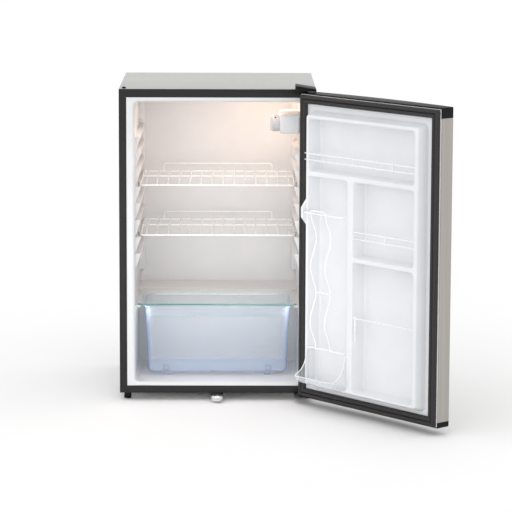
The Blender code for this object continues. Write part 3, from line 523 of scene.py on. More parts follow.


# The cabinet's liner is the door liner's white plastic made darker, as painted shade for the deep inside of
# the cabinet.
liner_white_painted_shade = moulded("liner_white_painted_shade", "white_liner", (0.725, 0.735, 0.750), 0.34, 240.0, 0.000006, 0.0005,
                     Coat_Weight=0.1, Coat_Roughness=0.2)
liner_white = moulded("liner_white", "white_liner", (0.80, 0.815, 0.835), 0.34, 240.0, 0.000006, 0.0005,
                      Coat_Weight=0.15, Coat_Roughness=0.2)
trim_black = moulded("grained_black_trim", "black_plastic", (0.006, 0.0055, 0.006), 0.46, 1500.0, 0.00005,
                     Specular_IOR_Level=0.14)
white_plastic = moulded("moulded_white", "white_plastic", (0.78, 0.78, 0.77), 0.34, 800.0)
gasket_vinyl = moulded("gasket_vinyl", "gasket_vinyl", (0.034, 0.0315, 0.0315), 0.50, 600.0, 0.00003,
                       Specular_IOR_Level=0.25)
rubber = moulded("black_rubber", "rubber", (0.022, 0.021, 0.021), 0.72, 500.0, 0.0001)
wire_coat = moulded("wire_coating", "white_wire", (0.90, 0.90, 0.89), 0.28, 400.0, 0.00004,
                    Coat_Weight=0.4, Coat_Roughness=0.1)
housing_grey = moulded("housing_grey", "white_plastic", (0.64, 0.665, 0.70), 0.36, 800.0)
knob_grey = moulded("knob_grey", "white_plastic", (0.52, 0.54, 0.57), 0.40, 800.0)
stop_grey = moulded("stop_grey", "rubber", (0.12, 0.12, 0.125), 0.45)
dial_ink = moulded("dial_ink", "black_plastic", (0.05, 0.05, 0.055), 0.6)


def insulation():
    """Yellowish foam with small round cells."""
    mat = finish("insulation_foam", "foam", (0.80, 0.72, 0.48), 0.9)
    cells = add(mat, "TexVoronoi", {"Vector": add(mat, "TexCoord").outputs["Object"], "Scale": 320.0})
    tinted(mat, noise(mat, 30.0), (0.68, 0.58, 0.36), (0.86, 0.79, 0.56))
    relief(mat, (cells.outputs["Distance"], 0.0008))
    return mat


foam = insulation()
print("plastics ready")


# %% Clear plastics, glass and the lamp
def clear(name, slot, colour, rim, face_on, edge_on, roughness, cloud=0.03, blend=0.35, **sockets):
    """See-through finish, from a middle colour and opacity to those of the rim at a glancing angle."""
    mat = finish(name, slot, colour, roughness, **sockets)
    facing = add(mat, "LayerWeight", {"Blend": blend}).outputs["Facing"]
    tinted(mat, facing, colour, rim, 0.08, 0.85)
    film = ranged(mat, noise(mat, 18.0), -cloud, cloud)
    opacity = ranged(mat, facing, face_on, edge_on, 0.0, 1.0)
    total = add(mat, "Math", {0: opacity, 1: film}, operation="ADD", use_clamp=True).outputs["Value"]
    shader_input(mat, "Alpha", total)
    shader_input(mat, "Roughness", ranged(mat, noise(mat, 120.0), roughness, roughness + 0.06))
    relief(mat, (noise(mat, 24.0), 0.00006))
    return mat


crisper_clear = clear("crisper_plastic", "crisper_plastic", (0.80, 0.87, 0.95), (0.33, 0.45, 0.70),
                      0.15, 0.72, 0.10, 0.012, blend=0.62, Coat_Weight=0.5)
stud_blue = clear("crisper_stud", "crisper_plastic", (0.09, 0.12, 0.30), (0.08, 0.11, 0.28), 0.85, 0.95, 0.15)
rail_frost = clear("frosted_rail", "clear_rail", (0.96, 0.97, 0.98), (0.90, 0.93, 0.96), 0.80, 0.96, 0.25,
                   Coat_Weight=0.3)
scoop_clear = clear("clear_scoop", "clear_plastic", (0.90, 0.92, 0.95), (0.78, 0.83, 0.88), 0.10, 0.60, 0.10,
                    Coat_Weight=0.5)
shelf_glass = clear("shelf_glass", "shelf_glass", (0.80, 0.92, 0.88), (0.66, 0.80, 0.76),
                    0.07, 0.42, 0.03, 0.01, Coat_Weight=1.0)
glass_edge = clear("glass_edge", "shelf_glass", (0.030, 0.24, 0.18), (0.02, 0.14, 0.10),
                   0.88, 0.98, 0.08, 0.02, Coat_Weight=1.0)


def glowing(name, slot, colour, strength, opacity):
    """A part of the lamp that gives warm light."""
    mat = finish(name, slot, colour, 0.3, Alpha=opacity, Emission_Strength=strength,
                 Emission_Color=(1.0, 0.86, 0.68, 1.0))
    tinted(mat, noise(mat, 80.0), shade(colour, 0.94), colour)
    relief(mat, (noise(mat, 250.0), 0.0002))
    return mat


lamp_lens = glowing("ribbed_lens", "lens", (0.93, 0.93, 0.92), 0.8, 0.55)
lamp_bulb = glowing("pearl_bulb", "bulb", (0.97, 0.95, 0.90), 6.0, 1.0)
print("clear finishes ready")

# %% Paper for the floor
floor_paint = finish("studio_paper", "grey_paint", (0.93, 0.93, 0.93), 0.9)
relief(floor_paint, (noise(floor_paint, 60.0), 0.0002))
floor.data.materials.append(floor_paint)
print("floor covered to", FLOOR_RADIUS, "m")

# %% [markdown]
# ## Keeping a frame part, with softer edges
# Many parts of the frame already have the right form, only their edges are razor sharp.
# soften copies such a mesh, joins its loose triangles, merges the flat ones into whole faces and rounds
# what is left of the corners. The copy then stands for the frame part, which is hidden.

# %% Place a finished piece
def finished(name, bm, finishes, nodes=(), body="cabinet", sharp=35.0, placed=False):
    """Make an object of a shape: put it in place, give it its finish, and let it ride on its body."""
    if not placed:
        bmesh.ops.transform(bm, matrix=place_of(body), verts=bm.verts[:])
    mesh = bpy.data.meshes.new(name)
    bm.to_mesh(mesh)
    bm.free()
    mesh.shade_smooth()
    mesh.set_sharp_from_angle(angle=math.radians(sharp))
    obj = bpy.data.objects.new(name, mesh)
    bpy.context.scene.collection.objects.link(obj)
    finishes = finishes if isinstance(finishes, (list, tuple)) else [finishes]
    for mat in finishes:
        mesh.materials.append(mat)
    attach(obj, body)
    if nodes:
        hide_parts(*nodes)
    print(f"{name}: {len(mesh.polygons)} faces on {body}")


def soften(node, mat, width=0.0006, segments=2):
    """A copy of a frame part with merged faces and rounded edges."""
    source = frame["nodes"][node]
    bm = bmesh.new()
    bm.from_mesh(source.data)
    bmesh.ops.remove_doubles(bm, verts=bm.verts[:], dist=1e-6)
    bmesh.ops.dissolve_limit(bm, angle_limit=math.radians(0.5), verts=bm.verts[:], edges=bm.edges[:])
    rounded(bm, width, segments)
    finished(node + "_finished", bm, mat, [node], source["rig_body"], placed=True)


# %% [markdown]
# ## Cabinet shell
# The body is a folded steel wrap around foam, closed at the front by a dark frame that the gasket seals
# against, and at the back by a flat panel. Folded steel has small rounded bends, so all of it is softened.

# %% Soften the cabinet's sheet parts
for node, mat, width in (
        ("outer_wrap", enamel_grey, 0.0004), ("front_frame", enamel_dark, 0.0012),
        ("rear_panel", enamel_grey, 0.0003), ("base_pan", zinc, 0.0003),
        ("compressor_base", zinc, 0.0004), ("relay_cover", trim_black, 0.0010),
        ("drip_tray", trim_black, 0.0006), ("top_hinge_cover", trim_black, 0.0010),
        ("top_hinge_plate", enamel_black, 0.0004), ("bottom_hinge_plate", enamel_black, 0.0004),
        ("lock_bracket", chrome, 0.0008), ("lamp_housing", housing_grey, 0.0007),
        ("thermostat", zinc, 0.0005), ("lamp_switch", white_plastic, 0.0004),
        ("cord_gland", trim_black, 0.0004), ("evaporator_plate", aluminium, 0.0003),
        ("condenser_bracket_left", enamel_black, 0.0005), ("condenser_bracket_right", enamel_black, 0.0005)):
    soften(node, mat, width)

# %% Cut the bezel, a thin ring that covers the edge of the liner's flange
BEZEL_HALF, BEZEL_Z = 0.2434, (0.0366, 0.8145)
HOLE_HALF, HOLE_Z = 0.2402, (0.0400, 0.8141)
bezel = cut(slab((-BEZEL_HALF, BEZEL_HALF), (0.0001, 0.0008), BEZEL_Z),
            slab((-HOLE_HALF, HOLE_HALF), (-0.01, 0.01), HOLE_Z))
finished("frame_bezel", bezel, enamel_dark)

# %% [markdown]
# ## Inner liner
# The liner is one sheet of plastic, sucked into a mould. It has a flat flange at the front, a rounded
# mouth, shelf guides on both walls, a pillar in each back corner and a step over the compressor.
# It is easiest to model the empty room first, take the guides out of it, and cut that from a solid tub.

# %% Measures of the room
ROOM_X = 0.219
ROOM_LOW, ROOM_TOP, ROOM_BACK = 0.050, 0.801, 0.421
ROOM_CORNER = 0.012
WALL = 0.002
STEP_Y, STEP_TOP = 0.284, 0.255
GUIDE_COUNT, GUIDE_PITCH, GUIDE_LOW_TOP, GUIDE_H = 8, 0.045, 0.388, 0.041
GUIDE_X, GUIDE_FRONT, GUIDE_BACK = 0.205, 0.058, 0.380
flange_x, _, flange_z = span("inner_liner")


def room_ring(grow, y):
    """Outline of the room at a depth, grown on all sides."""
    radius = max(ROOM_CORNER + grow, 0.003)
    outline = round_rect((-ROOM_X - grow, ROOM_X + grow), (ROOM_LOW - grow, ROOM_TOP + grow), radius)
    return on_plane("y", outline, y)


# %% Model the room
mouth = [(0.0075, -0.001), (0.0072, 0.0011), (0.0050, 0.0016), (0.0026, 0.0032), (0.0008, 0.0062),
         (0.0, 0.0105)]
far_end = [(0.0, ROOM_BACK - 0.013), (-0.0012, ROOM_BACK - 0.0075), (-0.0040, ROOM_BACK - 0.0030),
           (-0.0085, ROOM_BACK - 0.0006), (-0.0125, ROOM_BACK)]
room = skin([room_ring(grow, y) for grow, y in mouth + far_end])


def guide(side, top):
    """One shelf guide: a flat ledge whose underside slants back into the wall."""
    outline = [(side * 0.240, top), (side * GUIDE_X, top), (side * GUIDE_X, top - 0.0040),
               (side * 0.2180, top - GUIDE_H), (side * 0.240, top - GUIDE_H)]
    return prism(outline, "y", GUIDE_FRONT, GUIDE_BACK, 0.0024, 3)


guides = []
for side in (-1, 1):
    for i in range(GUIDE_COUNT if side < 0 else GUIDE_COUNT - 1):
        guides.append(guide(side, GUIDE_LOW_TOP + i * GUIDE_PITCH))
    pillar_x = sorted((side * 0.204, side * 0.250))
    guides.append(slab(pillar_x, (0.386, 0.470), (0.290, 0.840), 0.006, 4))
    ledge_x = sorted((side * 0.2065, side * 0.240))
    guides.append(slab(ledge_x, (0.046, 0.2835), (0.2435, 0.2507), 0.0018, 3))
step = slab((-0.30, 0.30), (STEP_Y, 0.60), (-0.10, STEP_TOP), 0.011, 5)
room = cut(room, step, joined(*guides))
print("room has", len(room.faces), "faces")

# %% Cut the room from the tub
tub = skin([room_ring(grow, y) for grow, y in
            [(0.0095, 0.0012), (0.0095, 0.0075), (WALL, 0.0125), (WALL, ROOM_BACK + WALL)]])
niche = slab((-0.30, 0.30), (STEP_Y + WALL, 0.60), (-0.10, STEP_TOP - WALL), 0.009, 4)
flange = slab(flange_x, (0.001, 0.001 + WALL), flange_z, 0.0004, 1)
liner = cut(united(flange, cut(tub, niche)), room)
# The room's liner takes the darker white, whose colour holds painted shade.
finished("inner_liner_formed", liner, liner_white_painted_shade, ["inner_liner"])

# %% [markdown]
# ## Door liner
# The inside of the door is formed the same way. A raised wall, the dike, keeps the cold in, and four pockets
# sink into it. Every wall leans a little so that the sheet leaves its mould, and every rim is rounded.

# %% Measures of the door's inside
RIM = -0.012
DIKE_FACE = 0.018
PAN = -0.027
DIKE_X, DIKE_Z = (-0.212, 0.212), (0.060, 0.786)
POCKETS = {"top": ((-0.192, 0.198), (0.634, 0.770)), "can": ((0.049, 0.198), (0.072, 0.620)),
           "side": ((-0.192, 0.028), (0.425, 0.620)), "bottle": ((-0.192, 0.028), (0.072, 0.412))}


def stack(x, z, radius, layers):
    """Rounded block over the rectangle x by z; each layer is (growth, depth)."""
    rings = [on_plane("y", round_rect((x[0] - g, x[1] + g), (z[0] - g, z[1] + g), max(radius + g, 0.002)), y)
             for g, y in layers]
    return skin(rings)


def dike():
    """The raised wall, leaning inwards from its foot to its face."""
    layers = [(0.0060, RIM - 0.0016), (0.0060, RIM), (0.0036, RIM + 0.0006), (0.0018, RIM + 0.0024),
              (0.0008, RIM + 0.006), (-0.0056, DIKE_FACE - 0.0040), (-0.0064, DIKE_FACE - 0.0018),
              (-0.0078, DIKE_FACE - 0.0005), (-0.0096, DIKE_FACE)]
    return stack(DIKE_X, DIKE_Z, 0.014, layers)


def pocket(name):
    """One pocket, drafted, with a rounded rim and a rounded floor."""
    x, z = POCKETS[name]
    layers = [(-0.0095, PAN), (-0.0056, PAN + 0.0008), (-0.0030, PAN + 0.0030), (-0.0020, PAN + 0.0065),
              (0.0, DIKE_FACE - 0.0040), (0.0006, DIKE_FACE - 0.0020), (0.0018, DIKE_FACE - 0.0006),
              (0.0034, DIKE_FACE - 0.00005), (0.0034, DIKE_FACE + 0.060)]
    return stack(x, z, 0.009, layers)


def boss():
    """Swelling of the hinge-side wall that carries the can rack's hoop."""
    low, high = 0.492, 0.558
    outline = [(DIKE_FACE - 0.012, low - 0.010), (DIKE_FACE + 0.013, low + 0.020),
               (DIKE_FACE + 0.013, high - 0.020), (DIKE_FACE - 0.012, high + 0.010)]
    return prism(outline, "x", 0.1985, 0.212, 0.004, 3)


# %% Form the door liner
door_x, _, door_z = span("door_liner")
rim_sheet = slab(door_x, (RIM - WALL, RIM), door_z, 0.0004, 1)
outside = united(rim_sheet, dike(), boss())
wells = [slab((x[0] - WALL, x[1] + WALL), (PAN - WALL, RIM - 0.001), (z[0] - WALL, z[1] + WALL), 0.004, 3)
         for x, z in POCKETS.values()]
outside = united(outside, *wells)
door_liner = cut(outside, *[pocket(n) for n in POCKETS])
finished("door_liner_formed", door_liner, liner_white, ["door_liner"], "door")
clips = [slab((0.2095, 0.2150), (0.0105, 0.0145), (z - 0.0014, z + 0.0014), 0.0010) for z in (0.6625, 0.679)]
finished("top_rail_clips", joined(*clips), liner_white, [], "door")

# %% [markdown]
# ## Gasket
# The seal is an extruded vinyl strip, cut at 45 degrees and welded at the corners. Its section has a soft
# outer lip, a groove, the fat tube that holds the magnet, and a thin inner lip. A row of four sections,
# one at each mitred corner, is enough to stretch the whole ring.

# %% Weld the gasket
gasket_x, gasket_y, gasket_z = span("door_gasket")
base, seal = gasket_y
section = [(0.0, base), (0.0, seal - 0.0030), (0.0012, seal - 0.0012), (0.0040, seal), (0.0085, seal),
           (0.0098, seal - 0.0016), (0.0106, seal - 0.0042), (0.0114, seal - 0.0016), (0.0128, seal),
           (0.0185, seal), (0.0200, seal - 0.0014), (0.0208, seal - 0.0040), (0.0220, seal - 0.0052),
           (0.0220, base)]
corners = [(gasket_x[0], gasket_z[0], 1, 1), (gasket_x[1], gasket_z[0], -1, 1),
           (gasket_x[1], gasket_z[1], -1, -1), (gasket_x[0], gasket_z[1], 1, -1)]
gasket = skin([[(x + sx * d, y, z + sz * d) for d, y in section] for x, z, sx, sz in corners], around=True)
finished("gasket_welded", gasket, gasket_vinyl, ["door_gasket"], "door", sharp=50.0)

# %% [markdown]
# ## Door skin and caps
# A single sheet of brushed stainless steel wraps the bowed front and both sides of the door.
# Moulded caps close its ends; their edges are rounded by drawing the outline in over the last millimetres.

# %% Outline of the door
DOOR_HALF = 0.258
DOOR_EDGE = -0.056
BOW = 0.015
CORNER = 0.006
SKIN = 0.001


def door_plan(inset, back, bow_steps=40, corner_steps=8):
    """Plan of the door, its bowed front drawn in by inset, closed off at y = back."""
    reach = DOOR_HALF - CORNER
    bend = CORNER - inset

    def corner(centre_x, start):
        angles = [math.radians(start + 90 * i / corner_steps) for i in range(corner_steps + 1)]
        return [(centre_x + bend * math.cos(a), DOOR_EDGE + CORNER + bend * math.sin(a)) for a in angles]

    bow = []
    for i in range(1, bow_steps):
        x = -reach + 2 * reach * i / bow_steps
        bow.append((x, DOOR_EDGE - BOW * (1 - (x / reach) ** 2) + inset))
    ends = [(-DOOR_HALF + inset, back), (DOOR_HALF - inset, back)]
    return ends[:1] + corner(-reach, 180) + bow + corner(reach, 270) + ends[1:]


# %% Fold the skin and mould the caps
_, skin_y, skin_z = span("door_skin")
wrap_outline = door_plan(0.0, skin_y[1]) + list(reversed(door_plan(SKIN, skin_y[1])))
finished("door_skin_brushed", prism(wrap_outline, "z", *skin_z), stainless, ["door_skin"], "door")

hinge_x, hinge_y = sum(span("top_hinge_pin")[0]) / 2, sum(span("top_hinge_pin")[1]) / 2


def end_cap(node, outer_z, inner_z):
    """Solid cap between the skin's end, inner_z, and its own rounded end, outer_z."""
    way = 1 if outer_z > inner_z else -1
    back = span(node)[1][1]
    rings = [(0.0, inner_z), (0.0, outer_z - way * 0.0022), (0.0005, outer_z - way * 0.0010),
             (0.0011, outer_z - way * 0.0003), (0.0022, outer_z)]
    body = skin([on_plane("z", door_plan(inset, back - inset), z) for inset, z in rings])
    bore = rod((hinge_x, hinge_y, 0), "z", 0.0063, 0.0, 0.9)
    return cut(body, bore)


top_z, low_z = span("door_top_cap")[2], span("door_bottom_cap")[2]
top_cap = end_cap("door_top_cap", top_z[1], top_z[0])
finished("door_top_cap_moulded", top_cap, trim_black, ["door_top_cap"], "door")
STRIKE_PLACE = (0, -0.030, 0)
strike_hole = rod(STRIKE_PLACE, "z", 0.0088, 0.0, 0.1)
low_cap = cut(end_cap("door_bottom_cap", low_z[0], low_z[1]), strike_hole)
finished("door_bottom_cap_moulded", low_cap, trim_black, ["door_bottom_cap"], "door")

# %% [markdown]
# ## Wire shelves
# A shelf is steel rod: a thick bent frame, a cross rod, thinner deck rods welded on top and a raised lip at
# the back that stops food from touching the wall. All of it is dipped in white plastic.
# A thin grey stop stands on each front corner.

# %% Bend and weld the shelves
SHELF_FRONT, SHELF_MID, SHELF_BACK = 0.075, 0.263, 0.371
SHELF_X = 0.2065
FRAME_ROD, DECK_ROD = 0.00225, 0.0015
DECK_PITCH, DECK_COUNT, DECK_RISE = 0.0295, 14, 0.0022
LIP_X, LIP_H = 0.150, 0.022


def wire_shelf(node, body):
    """One shelf with its frame, lip, deck and front stops."""
    z = span(node)[2][0] + FRAME_ROD
    corners = [(-SHELF_X, SHELF_FRONT, z), (SHELF_X, SHELF_FRONT, z),
               (SHELF_X, SHELF_BACK, z), (-SHELF_X, SHELF_BACK, z)]
    lip = [(-LIP_X, SHELF_BACK, z), (-LIP_X, SHELF_BACK, z + LIP_H),
           (LIP_X, SHELF_BACK, z + LIP_H), (LIP_X, SHELF_BACK, z)]
    rods = [wire(corners, FRAME_ROD, 0.010, around=True),
            wire([(-SHELF_X, SHELF_MID, z), (SHELF_X, SHELF_MID, z)], FRAME_ROD),
            wire(lip, DECK_ROD, 0.008)]
    for i in range(DECK_COUNT):
        x = (i - (DECK_COUNT - 1) / 2) * DECK_PITCH
        ends = [(x, SHELF_FRONT, z + DECK_RISE), (x, SHELF_BACK, z + DECK_RISE)]
        rods.append(wire(ends, DECK_ROD, resolution=2))
    finished(node + "_dipped", joined(*rods), wire_coat, [node], body)
    stops = [slab((x - 0.0010, x + 0.0010), (SHELF_FRONT - 0.0060, SHELF_FRONT + 0.0010),
                  (z - 0.0020, z + 0.0095), 0.0006) for x in (-SHELF_X - 0.0040, SHELF_X + 0.0040)]
    finished(node + "_stops", joined(*stops), stop_grey, [], body)


wire_shelf("upper_wire_shelf", "upper_shelf")
wire_shelf("lower_wire_shelf", "lower_shelf")

# %% [markdown]
# ## Glass cover and crisper
# The cover over the crisper is a pane of tempered glass. Seen face on it is nearly clear, but its ground
# edge looks deep green, because the eye looks through the whole width of the pane there. Behind its front
# ears the pane is a little narrower.
# The crisper is a thin, slightly lilac tub with leaning walls, a rolled lip and four small feet.

# %% Cut the glass
glass_x, glass_y, glass_z = span("glass_shelf")
GLASS_EAR, GLASS_WAIST = 0.012, 0.0045
pane_half, pane_front, pane_back = glass_x[1], glass_y[0], glass_y[1]
pane_side = [(pane_half - 0.004, pane_front), (pane_half, pane_front + 0.004),
             (pane_half, pane_front + GLASS_EAR), (pane_half - GLASS_WAIST, pane_front + 0.030),
             (pane_half - GLASS_WAIST, pane_back)]
pane = prism(pane_side + [(-x, y) for x, y in reversed(pane_side)], "z", *glass_z, 0.0009, 3)
for face in pane.faces:
    green = abs(face.normal.z) < 0.9 and face.calc_center_median().y < pane_front + 0.031
    face.material_index = 1 if green else 0
finished("glass_pane", pane, [shelf_glass, glass_edge], ["glass_shelf"], "crisper_cover")

# %% Mould the crisper
TUB_TOP_X, TUB_LOW_X = 0.1950, 0.1875
TUB_FRONT, TUB_BACK = 0.076, 0.274
tub_z = span("crisper_drawer")[2]
FOOT_HIGH = 0.0097
TUB_WALL = 0.0022


def tub_ring(share, inset, z):
    """Outline of the tub at a share of its height, drawn in by inset."""
    x = TUB_LOW_X + (TUB_TOP_X - TUB_LOW_X) * share - inset
    lean = 0.005 * (1 - share) + inset
    radius = max(0.020 - inset, 0.006)
    return on_plane("z", round_rect((-x, x), (TUB_FRONT + lean, TUB_BACK - lean), radius, 8), z)


low, high = tub_z[0] + FOOT_HIGH, tub_z[1]
outer = [(0.0, 0.0100, low), (0.0, 0.0045, low + 0.0010), (0.01, 0.0016, low + 0.0034),
         (0.04, 0.0, low + 0.0090), (0.94, 0.0, high - 0.0100), (0.97, -0.0004, high - 0.0062),
         (0.97, -0.0016, high - 0.0052),
         (1.0, -0.0026, high - 0.0040), (1.0, -0.0028, high - 0.0015), (1.0, -0.0022, high - 0.0002),
         (1.0, -0.0012, high)]
inner = [(0.0, 0.0122, low + TUB_WALL), (0.0, 0.0066, low + TUB_WALL + 0.0008), (0.01, 0.0040, low + 0.0050),
         (0.04, TUB_WALL, low + 0.0100), (0.94, TUB_WALL, high - 0.0080), (1.0, 0.0018, high - 0.0030),
         (1.0, 0.0014, high - 0.0008), (1.0, 0.0010, high + 0.0010)]
tub_solid = skin([tub_ring(*ring) for ring in outer])
tub_hollow = skin([tub_ring(*ring) for ring in inner])
crisper = cut(tub_solid, tub_hollow)
tub_feet = [slab((x - 0.008, x + 0.008), (y - 0.008, y + 0.008), (tub_z[0], low + 0.0012), 0.0015)
            for x in (-0.135, 0.135) for y in (0.105, 0.245)]
tub_grip = slab((-0.184, 0.184), (TUB_FRONT - 0.0027, TUB_FRONT - 0.0013), (high - 0.026, high - 0.0012),
                0.0004)
finished("crisper_tub", united(crisper, tub_grip, *tub_feet), crisper_clear, ["crisper_drawer"], "crisper")
studs = []
for x in (-0.138, 0.138):
    plate = slab((x - 0.0078, x + 0.0078), (0.0835, 0.0865), (low + 0.0040, low + 0.0196), 0.0006)
    studs.append(cut(plate, slab((x - 0.0050, x + 0.0050), (0.07, 0.10), (low + 0.0068, low + 0.0168))))
finished("crisper_studs", joined(*studs), stud_blue, [], "crisper")

# %% [markdown]
# ## Door fittings
# Slim rails snap across the pockets. The can rack is bent from coated wire in a wave, so that cans roll
# down in turn, and a clear scoop catches the lowest one.

# %% Rails
def rail(node, heights, ties=(), extra=(), bar=0.0017):
    """Slim bars at the given heights, upright ties, and a round stud where each bar meets the wall."""
    x = span(node)[0]
    pieces = [slab(x, (0.0112, 0.0143), (h - bar, h + bar), 0.0011) for h in heights]
    pieces += [slab((t - 0.0015, t + 0.0015), (0.0104, 0.0152), (heights[0] - 0.004, heights[-1] + 0.004),
                    0.0011) for t in ties]
    pieces += [rod((0, 0.01275, h), "x", 0.0028, *ends) for h in heights
               for ends in ((x[0], x[0] + 0.003), (x[1] - 0.003, x[1]))]
    finished(node + "_moulded", joined(*pieces, *extra), rail_frost, [node], "door")


rail("door_top_rail", (0.6625, 0.679), (0.033, -0.112))
rail("door_side_rail", (0.4735, 0.4914), (-0.087,))
clip_low, clip_high = span("bottle_rail")[2]
clip = slab((0.0175, 0.0210), (0.0100, 0.0152), (clip_low, clip_high - 0.002), 0.0012)
rail("bottle_rail", (0.267,), extra=[clip])

# %% Can rack
RACK_LOW, RACK_HIGH = 0.167, 0.527
RACK_X = (0.0515, 0.1955)
RAIL_X = (0.110, 0.165)
RACK_ROD = 0.002
TIE_Z = 0.3175
WAVE_MIDDLE, WAVE_SWING, WAVE_LENGTH, WAVE_LOW = 0.026, 0.010, 0.145, 0.3155


def rack_y(z):
    """Depth of the wavy rails at a height."""
    return WAVE_MIDDLE - WAVE_SWING * math.cos(math.tau * (z - WAVE_LOW) / WAVE_LENGTH)


heights = [RACK_LOW + (RACK_HIGH - RACK_LOW) * i / 60 for i in range(61)]
top_y, tie_y, low_y = rack_y(RACK_HIGH), rack_y(TIE_Z), rack_y(RACK_LOW)
up = [(RAIL_X[0], rack_y(z), z) for z in heights]
down = [(RAIL_X[1], y, z) for x, y, z in reversed(up)]
bow = [(0.1105, top_y, RACK_HIGH + 0.005), (0.113, top_y, RACK_HIGH + 0.0075),
       (0.162, top_y, RACK_HIGH + 0.0075), (0.1645, top_y, RACK_HIGH + 0.005)]
hoop = [(RACK_X[0], -0.004, RACK_HIGH), (RACK_X[0], top_y, RACK_HIGH),
        (RACK_X[1], top_y, RACK_HIGH), (RACK_X[1], -0.004, RACK_HIGH)]
rack = [wire(up + bow + down, RACK_ROD),
        wire([(RAIL_X[0], tie_y, TIE_Z), (RAIL_X[1], tie_y, TIE_Z)], RACK_ROD),
        wire([(RACK_X[0], low_y, RACK_LOW + 0.001), (RACK_X[1], low_y, RACK_LOW + 0.001)], RACK_ROD),
        wire(hoop, RACK_ROD, 0.012)]
finished("can_rack_dipped", joined(*rack), wire_coat, ["can_rack"], "door")

# %% Can scoop
scoop_x = span("can_scoop")[0]
side_view = [(-0.010, 0.160), (0.019, 0.160), (0.0215, 0.146), (0.0245, 0.133), (0.030, 0.121),
             (0.038, 0.111), (0.048, 0.1035), (0.058, 0.099), (0.060, 0.095), (0.0585, 0.088),
             (0.053, 0.0805), (0.046, 0.0762), (0.038, 0.0738), (0.030, 0.0728), (-0.010, 0.0725)]
inside_view = [(-0.030, 0.180), (0.080, 0.180), (0.080, 0.0965), (0.0575, 0.0965), (0.0568, 0.0905),
               (0.0520, 0.0830), (0.0450, 0.0785), (0.0375, 0.0760), (0.030, 0.0749), (-0.030, 0.0747)]
scoop = cut(prism(side_view, "x", *scoop_x), prism(inside_view, "x", scoop_x[0] + 0.002, scoop_x[1] - 0.002))
rounded(scoop, 0.0006, 2)
finished("can_scoop_moulded", scoop, scoop_clear, ["can_scoop"], "door")
scoop_rim = side_view[1:9]
bead_left = [(scoop_x[0] + 0.0014, y - 0.0004, z) for y, z in scoop_rim]
bead_right = [(scoop_x[1] - 0.0014, y - 0.0004, z) for y, z in scoop_rim]
bead = wire(bead_left + list(reversed(bead_right)), 0.0013)
finished("can_scoop_bead", bead, rail_frost, [], "door")

# %% [markdown]
# ## Thermostat knob and lamp
# The knob is turned with a shallow dish, ribbed round its rim for grip and carries a raised bar. Dots on its
# face show the setting. Behind it sit the lamp's clear lens and a small pear-shaped bulb.

# %% Knob
knob_x, knob_y, knob_z = span("thermostat_knob")
knob_centre = (0.0, sum(knob_y) / 2, sum(knob_z) / 2)
disc_x = (0.1465, 0.1655)
knob_r = (knob_y[1] - knob_y[0]) / 2
RIB_COUNT, DOT_COUNT = 36, 8
DOT_RING = 0.0178
profile = [(0, disc_x[0] + 0.0008), (0.014, disc_x[0] + 0.0008), (0.0165, disc_x[0]),
           (knob_r - 0.0030, disc_x[0]), (knob_r - 0.0012, disc_x[0] + 0.0008),
           (knob_r - 0.0004, disc_x[0] + 0.0026), (knob_r - 0.0004, disc_x[1]), (0, disc_x[1])]
knob = turned(profile, knob_centre, "x", 72)


def on_knob(ring, angle):
    """The Y and Z of a point at a distance from the knob's middle."""
    return knob_centre[1] + ring * math.cos(angle), knob_centre[2] + ring * math.sin(angle)


ribs = []
for i in range(RIB_COUNT):
    y, z = on_knob(knob_r - 0.0004, math.tau * i / RIB_COUNT)
    ribs.append(rod((0, y, z), "x", 0.0006, disc_x[0] + 0.003, disc_x[1] - 0.001, 0.0001, 6))
knob_bar = slab((knob_x[0], 0.1480), (knob_centre[1] - 0.003, knob_centre[1] + 0.003),
                (knob_centre[2] - 0.019, knob_centre[2] + 0.019), 0.0016)
stem = rod((0, knob_centre[1], knob_centre[2]), "x", 0.004, 0.1600, knob_x[1])
finished("knob_ribbed", joined(knob, knob_bar, stem, *ribs), knob_grey, ["thermostat_knob"], "knob")

# %% Dial marks, lens, bulb and holder
marks = []
for i in range(DOT_COUNT):
    y, z = on_knob(DOT_RING, math.radians(210 - 30 * i))
    marks.append(rod((0, y, z), "x", 0.0009 if i else 0.0014, disc_x[0] - 0.0002, disc_x[0] + 0.0004,
                     0.0001, 12))
y, z = on_knob(knob_r, math.radians(125))
marks.append(slab((disc_x[0] + 0.006, disc_x[0] + 0.010), (y - 0.0022, y + 0.0022), (z - 0.0026, z + 0.0010),
                  0.0004))
finished("dial_marks", joined(*marks), dial_ink, [], "knob")
soften("lamp_lens", lamp_lens, 0.0010)
bulb_x, bulb_y, bulb_z = span("lamp_bulb")
bulb_centre = (sum(bulb_x) / 2, 0.0, sum(bulb_z) / 2)
bulb_profile = [(0, bulb_y[0]), (0.0080, bulb_y[0]), (0.0084, bulb_y[0] + 0.004), (0.0088, bulb_y[0] + 0.010),
                (0.0102, bulb_y[0] + 0.015), (0.0110, bulb_y[0] + 0.020), (0.0108, bulb_y[0] + 0.026),
                (0.0092, bulb_y[0] + 0.032), (0.0058, bulb_y[0] + 0.0362), (0, bulb_y[1])]
finished("bulb_blown", turned(bulb_profile, bulb_centre, "y"), lamp_bulb, ["lamp_bulb"])
holder_y = span("lamp_holder")[1]
holder_profile = [(0, holder_y[0]), (0.0105, holder_y[0]), (0.0112, holder_y[0] + 0.002),
                  (0.0120, holder_y[1] - 0.004), (0.0120, holder_y[1] - 0.0005),
                  (0.0113, holder_y[1]), (0, holder_y[1])]
finished("lamp_holder_moulded", turned(holder_profile, bulb_centre, "y"), white_plastic, ["lamp_holder"])

# %% [markdown]
# ## Hinges, lock and feet
# Small turned parts: pins, bushes, the chrome lock barrel with its key slot, and levelling feet with notches
# for the fingers. A front foot's wide part ends below the cabinet, and only its thin stem goes in.

